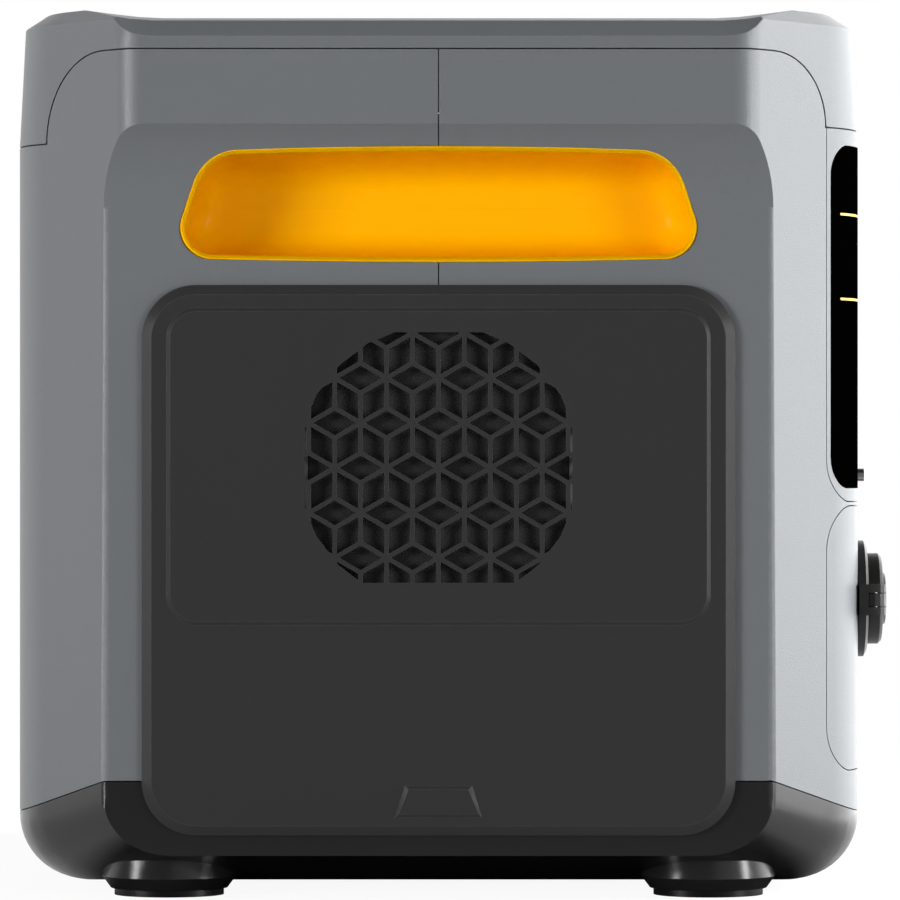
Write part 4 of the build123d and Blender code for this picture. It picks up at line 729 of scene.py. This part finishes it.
@dataclass
class CarryingCup:
    """Orange hand cup in one side: a smooth bowl behind a rounded lip.

    Heights and half widths are the mouth's, its bows are how far its long edges bulge, and its corner radii
    are the lower and the upper one. The side is flat up to the shoulder's foot and an arc above it.
    """

    side: Side
    low: float = 221.9 * MM
    high: float = 262.0 * MM
    low_half: float = 94.5 * MM
    high_half: float = 81.6 * MM
    low_bow: float = 1.4 * MM
    high_bow: float = 2.0 * MM
    corner_radii: tuple[float, float] = (11.0 * MM, 16.3 * MM)
    corner_shrink: float = 0.4
    side_x: float = 198.1 * MM
    shoulder_radius: float = 40.0 * MM
    shoulder_foot: float = 241.0 * MM
    depth: float = 37.0 * MM
    lip: float = 0.5 * MM
    wall: float = 1.6 * MM
    spine_share: float = 0.86
    spacing_power: float = 1.15
    depth_power: float = 4.5
    depth_root: float = 2.2
    last_share: float = 0.9995
    lip_rings: int = 5
    bowl_rings: int = 25
    corner_points: int = 20
    run_points: int = 24
    sharp_angle: float = 60.0

    def outline(self, inset: float) -> np.ndarray:
        """Mouth of the cup, seen from the side.

        A trapezium with rounded corners; its long edges bow out by a parabola.

        Args:
            inset: distance inside the mouth's edge.
        Returns:
            (n, 2) Y and Z of the loop, from the cup's middle in Y.
        """
        low, high = self.low + self.low_bow, self.high - self.high_bow
        low_half, high_half = self.low_half - inset, self.high_half - inset
        corners = np.array([(-low_half, low + inset), (low_half, low + inset),
                            (high_half, high - inset), (-high_half, high - inset)])
        foot, head = (radius - inset * self.corner_shrink for radius in self.corner_radii)
        loop = rounded_loop(corners, np.array([foot, foot, head, head]), self.corner_points, self.run_points)
        across = np.clip(1 - (loop[:, 0] / self.low_half) ** 2, 0, 1)
        up = loop[:, 1] > (low + high) / 2
        loop[:, 1] += np.where(up, self.high_bow, -self.low_bow) * across
        return loop

    def wall_x(self, height: np.ndarray) -> np.ndarray:
        """Distance of the housing's side from the middle plane: flat below, an arc at the shoulder."""
        above = np.maximum(height - self.shoulder_foot, 0)
        return self.side_x + self.shoulder_radius - np.sqrt(self.shoulder_radius**2 - above**2)

    def lip_points(self, rim: np.ndarray) -> np.ndarray:
        """Rings over the lip, a quarter circle from the mouth's edge up to the side's surface.

        Args:
            rim: (n,) distance of the mouth's points from the middle plane.
        Returns:
            (rings, n, 3) points.
        """
        rings = []
        for turn in np.linspace(0, pi / 2, self.lip_rings):
            across = rim - self.lip * (1 - sin(turn))
            rings.append(np.column_stack([across, self.outline(self.lip * (1 - cos(turn)))]))
        return np.array(rings)

    def bowl_points(self, rim: np.ndarray) -> np.ndarray:
        """Rings of the bowl, which close in from the lip on the middle line.

        At a share w of the way in, the depth is D (1 - (1 - w)^p)^(1/q), steep at the wall and flat at the
        floor, and the shoulder's arc counts by (1 - w)^2. The rings lie at w = sin(t)^s for even steps of t.

        Args:
            rim: (n,) distance of the mouth's points from the middle plane.
        Returns:
            (rings, n, 3) points.
        """
        start = self.outline(self.lip)
        reach = self.high_half * self.spine_share
        along = np.clip(self.outline(0.0)[:, 0], -reach, reach)
        spine = np.column_stack([along, np.full(len(along), (self.low + self.high) / 2)])
        turns = np.linspace(0, pi / 2, self.bowl_rings + 1)[1:, None]
        share = np.minimum(np.sin(turns) ** self.spacing_power, self.last_share)
        depth = self.depth * (1 - (1 - share) ** self.depth_power) ** (1 / self.depth_root)
        across = self.side_x + (rim - self.side_x) * (1 - share) ** 2 - depth
        return np.dstack([across, start * (1 - share[..., None]) + spine * share[..., None]])

    def build(self) -> None:
        """Makes the lip and the bowl as one skin and gives it a wall."""
        low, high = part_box(f"handle_cup_{self.side.tag}")
        rim = self.wall_x(self.outline(0.0)[:, 1])
        points = np.concatenate([self.lip_points(rim), self.bowl_points(rim)])
        points[..., 0] *= self.side.value
        points[..., 1] += (low[1] + high[1]) / 2
        faces = grid_faces(*points.shape[:2])
        piece = make_object(f"carrying_cup_{self.side.tag}", points.reshape(-1, 3), faces, self.sharp_angle)
        thick = piece.modifiers.new("Wall", "SOLIDIFY")
        thick.thickness = self.wall
        thick.offset = -1.0
        settle(piece, ORANGE_CUP, f"handle_cup_{self.side.tag}")


@dataclass
class SideVent:
    """Black side cover with its grille, the filter mat behind it, and the fan."""

    side: Side
    cover_edge: float = 0.3 * MM

    def build(self) -> None:
        """Builds and dresses the cover, the mat and the fan."""
        tag = self.side.tag
        Softened(f"side_cover_{tag}", BLACK_COVER, self.cover_edge).build()
        dress(f"dust_filter_{tag}", FILTER_MAT)
        dress(f"fan_frame_{tag}", SWITCH_BLACK)
        dress(f"fan_rotor_{tag}", SWITCH_BLACK)
        dress(f"fan_screws_{tag}", PLATED_STEEL)


@dataclass
class FrontPanel:
    """Glass control panel, its surround, and the panel of outlets under it."""

    panel_edge: float = 0.3 * MM
    glass_edge: float = 0.25 * MM
    outlet_edge: float = 0.4 * MM
    button_edge: float = 0.2 * MM

    def build(self) -> None:
        """Builds and dresses the front."""
        Softened("front_insert", GREY_SHELL, self.panel_edge).build()
        Softened("control_glass", FRONT_GLASS, self.glass_edge).build()
        Softened("lower_front_panel", GREY_SHELL, self.panel_edge).build()
        Softened("ac_outlets", SOCKET_BLACK, self.outlet_edge).build()
        dress("accent_rules", YELLOW_PRINT)
        dress("display_module", DISPLAY_FACE)
        for node in ("control_board", "button_board", "bms_board", "inverter_board"):
            dress(node, CIRCUIT_BOARD)
        dress("button_switches", SWITCH_BLACK)
        dress("usb_a_shells", PLATED_STEEL)
        dress("usb_c_shells", PLATED_STEEL)
        dress("usb_tongues", TONGUE_PLASTIC)
        for name in ("power", "ac", "dc", "light"):
            Softened(f"{name}_button", BUTTON_METAL, self.button_edge).build()


@dataclass
class CarSocket:
    """Car-type socket with its hinged cap."""

    edge: float = 0.3 * MM

    def build(self) -> None:
        """Builds and dresses the socket and the cap."""
        Softened("car_socket", SOCKET_BLACK, self.edge).build()
        Softened("socket_cap", SOCKET_BLACK, self.edge).build()
        dress("car_socket_contact", CONTACT_BRASS)
        dress("cap_hinge_pin", PLATED_STEEL)


@dataclass
class RearInlets:
    """Recessed bay with the charging inlets, behind its door."""

    edge: float = 0.3 * MM

    def build(self) -> None:
        """Builds and dresses the bay."""
        Softened("rear_inlet_bay", BLACK_BASE, self.edge).build()
        Softened("inlet_door", BLACK_COVER, self.edge).build()
        dress("ac_inlet", SOCKET_BLACK)
        dress("ac_inlet_pins", CONTACT_BRASS)
        dress("solar_sockets", SOCKET_BLACK)
        dress("inlet_door_pin", PLATED_STEEL)


@dataclass
class PowerPack:
    """Cells and electronics inside the housing."""

    finishes: dict[str, Finish] = field(default_factory=lambda: {
        "battery_cells": CELL_FILM, "cell_tray": PACK_PLASTIC, "cell_frame": PACK_PLASTIC,
        "bus_bars": BAR_COPPER, "inverter_tray": CHASSIS_METAL, "heat_sinks": CHASSIS_METAL,
        "transformers": CORE_IRON, "capacitors": CAN_SLEEVE})

    def build(self) -> None:
        """Dresses the nodes inside."""
        for node, finish in self.finishes.items():
            dress(node, finish)


# ---------------------------------------------------------------- studio
@dataclass
class Lamp:
    """One soft rectangular lamp aimed at the object's middle."""

    name: str
    place: Point
    size: tuple[float, float]
    power: float
    in_gloss: bool = True
    in_diffuse: bool = True
    aim: Point = (0.0, 0.0, 0.16)

    def build(self) -> None:
        """Adds the lamp."""
        data = bpy.data.lights.new(self.name, "AREA")
        data.shape = "RECTANGLE"
        data.size, data.size_y = self.size
        data.energy = self.power
        lamp = bpy.data.objects.new(self.name, data)
        bpy.context.scene.collection.objects.link(lamp)
        lamp.location = self.place
        lamp.rotation_euler = (Vector(self.aim) - Vector(self.place)).to_track_quat("-Z", "Y").to_euler()
        lamp.visible_camera = False
        lamp.visible_glossy = self.in_gloss
        lamp.visible_diffuse = self.in_diffuse


@dataclass
class Studio:
    """Camera, lamps, floor and background.

    The object's front is towards -Y. A turn is a range of a direction's X, Y or Z in the background, a reach
    is a range of distance on the floor, and a gloss is the brightness that glossy rays meet.
    """

    camera_place: Point = (-2.3851, 0.001335, 0.1565)
    lens: float = 251.4
    sensor: float = 36.0
    clip_range: Span = (0.05, 100.0)
    level_fill: float = 0.5
    top_fill: float = 0.18
    behind_gloss: float = 0.15
    front_gloss: float = 0.3
    past_front_gloss: float = 3.0
    top_gloss: float = 0.1
    fill_turn: Span = (0.0, 0.9)
    beside_turn: Span = (-0.1, 0.4)
    front_turn: Span = (-0.3, -0.9)
    past_front_turn: Span = (0.05, -0.35)
    overhead_turn: Span = (0.3, 0.85)
    beyond_reach: Span = (-0.5, 0.2)
    past_front_reach: Span = (-0.12, -0.4)
    plain_reach: Span = (0.45, 0.9)
    # half sizes and fade of the box of painted shadow on the floor as glossy rays meet it
    shade_half: tuple[float, float] = (0.19, 0.12)
    shade_fade: float = 0.03
    floor_half: float = 6.0
    floor_drop: float = 0.2 * MM
    floor_matt: float = 0.55
    shadow_depth: float = 0.12
    shadow_glow: float = 0.93
    lamps: tuple[Lamp, ...] = (
        Lamp("front_key", (0.35, -2.4, 0.5), (1.8, 1.6), 205.0, in_gloss=False),
        Lamp("rear_fill", (-1.75, 1.75, 0.35), (0.8, 0.6), 39.0, in_gloss=False),
        Lamp("front_fill", (-2.0, -1.4, 0.3), (0.6, 0.6), 13.0, in_gloss=False),
        Lamp("rear_gleam", (-1.3, 2.1, 0.2), (0.5, 1.6), 36.0, in_diffuse=False),
        Lamp("front_gleam", (-0.95, -2.25, 0.2), (0.5, 1.6), 38.0, in_diffuse=False),
    )

    def camera(self) -> None:
        """Adds the camera, which looks along +X."""
        data = bpy.data.cameras.new("camera")
        data.lens = self.lens
        data.sensor_width = self.sensor
        data.clip_start, data.clip_end = self.clip_range
        camera = bpy.data.objects.new("camera", data)
        bpy.context.scene.collection.objects.link(camera)
        camera.location = self.camera_place
        camera.rotation_euler = (pi / 2, 0.0, -pi / 2)
        bpy.context.scene.camera = camera

    def world(self) -> None:
        """Makes the background: white to the camera, a soft gradient to gloss, and a plain grey as fill.

        The gradient is (beside x past the front + in front) x overhead, each a smooth step along one axis.
        """
        world = bpy.data.worlds.new("studio")
        bpy.context.scene.world = world
        world.use_nodes = True
        world.node_tree.nodes.clear()
        graph = Graph(world.node_tree)
        path = graph.add("LightPath")
        parts = graph.add("SeparateXYZ")
        graph.link(graph.add("TexCoord").outputs["Generated"], parts.inputs["Vector"])
        beside = graph.span(parts.outputs["X"], self.beside_turn, (self.behind_gloss, 1.0))
        past_front = graph.span(parts.outputs["Y"], self.past_front_turn, (1.0, self.past_front_gloss))
        in_front = graph.span(parts.outputs["Y"], self.front_turn, (0.0, self.front_gloss))
        overhead = graph.span(parts.outputs["Z"], self.overhead_turn, (1.0, self.top_gloss))
        level = graph.math("ADD", graph.math("MULTIPLY", beside, past_front), in_front)
        gloss = graph.white("Background", graph.math("MULTIPLY", level, overhead))
        dimming = graph.span(parts.outputs["Z"], self.fill_turn, (self.level_fill, self.top_fill))
        fill = graph.white("Background", dimming)
        to_gloss = graph.math("MAXIMUM", path.outputs["Is Glossy Ray"], path.outputs["Is Transmission Ray"])
        unseen = graph.mix_shaders(to_gloss, fill, gloss)
        shown = graph.mix_shaders(path.outputs["Is Camera Ray"], unseen, graph.white("Background", 1.0))
        graph.link(shown, graph.add("OutputWorld").inputs["Surface"])

    def mirrored_floor(self, graph: Graph, place: bpy.types.NodeSocket) -> bpy.types.NodeSocket:
        """Floor as glossy rays meet it: lit like the background, with a painted shadow that is dark within a
        box under the object.

        Args:
            graph: the floor's graph.
            place: object coordinates.
        Returns:
            A shader.
        """
        parts = graph.add("SeparateXYZ")
        graph.link(place, parts.inputs["Vector"])
        beyond = graph.span(parts.outputs["X"], self.beyond_reach, (self.behind_gloss, 1.0))
        past_front = graph.span(parts.outputs["Y"], self.past_front_reach, (1.0, self.past_front_gloss))
        # painted shadow: the floor's glow fades to nothing within the box under the object
        past_side, past_end = (graph.math("SUBTRACT", graph.math("ABSOLUTE", parts.outputs[axis]), half)
                               for axis, half in zip("XY", self.shade_half))
        outside_painted_shadow = graph.span(graph.math("MAXIMUM", past_side, past_end), (0.0, self.shade_fade))
        lit_floor = graph.math("MULTIPLY", beyond, past_front)
        return graph.white("Emission", graph.math("MULTIPLY", lit_floor, outside_painted_shadow))

    def shown_floor(self, graph: Graph, place: bpy.types.NodeSocket) -> bpy.types.NodeSocket:
        """Floor as the camera sees it: white with a faint shadow near the object, plain white further out.

        Args:
            graph: the floor's graph.
            place: object coordinates.
        Returns:
            A shader.
        """
        distance = graph.add("VectorMath", operation="LENGTH")
        graph.link(place, distance.inputs[0])
        far = graph.span(distance.outputs["Value"], self.plain_reach)
        near = graph.add("AddShader")
        graph.link(graph.matt(self.shadow_depth), near.inputs[0])
        graph.link(graph.white("Emission", self.shadow_glow), near.inputs[1])
        return graph.mix_shaders(far, near.outputs[0], graph.white("Emission", 1.0))

    def floor(self) -> None:
        """Adds the floor, which matt surfaces see as a plain grey."""
        grid = (-self.floor_half, self.floor_half)
        points = np.array([(x, y, -self.floor_drop) for x in grid for y in grid])
        floor = make_object("floor", points, np.array([[0, 2, 3, 1]]))
        material = bpy.data.materials.new("floor")
        material.use_nodes = True
        material.node_tree.nodes.clear()
        graph = Graph(material.node_tree)
        path = graph.add("LightPath")
        place = graph.add("TexCoord").outputs["Object"]
        unseen = graph.mix_shaders(path.outputs["Is Glossy Ray"], graph.matt(self.floor_matt),
                                   self.mirrored_floor(graph, place))
        seen = graph.math("MAXIMUM", path.outputs["Is Camera Ray"], path.outputs["Is Transmission Ray"])
        surface = graph.mix_shaders(seen, unseen, self.shown_floor(graph, place))
        graph.link(surface, graph.add("OutputMaterial").inputs["Surface"])
        floor.data.materials.append(material)

    def build(self) -> None:
        """Sets up the whole studio."""
        self.camera()
        self.world()
        self.floor()
        for lamp in self.lamps:
            lamp.build()
        bpy.context.scene.view_settings.view_transform = "Standard"


def main() -> None:
    """Builds every sub-assembly in order."""
    logging.basicConfig(level=logging.INFO, format="%(name)s: %(message)s")
    Studio().build()
    Housing().build()
    for side in Side:
        CarryingCup(side).build()
        SideVent(side).build()
    FrontPanel().build()
    CarSocket().build()
    RearInlets().build()
    PowerPack().build()


if __name__ == "__main__":
    main()
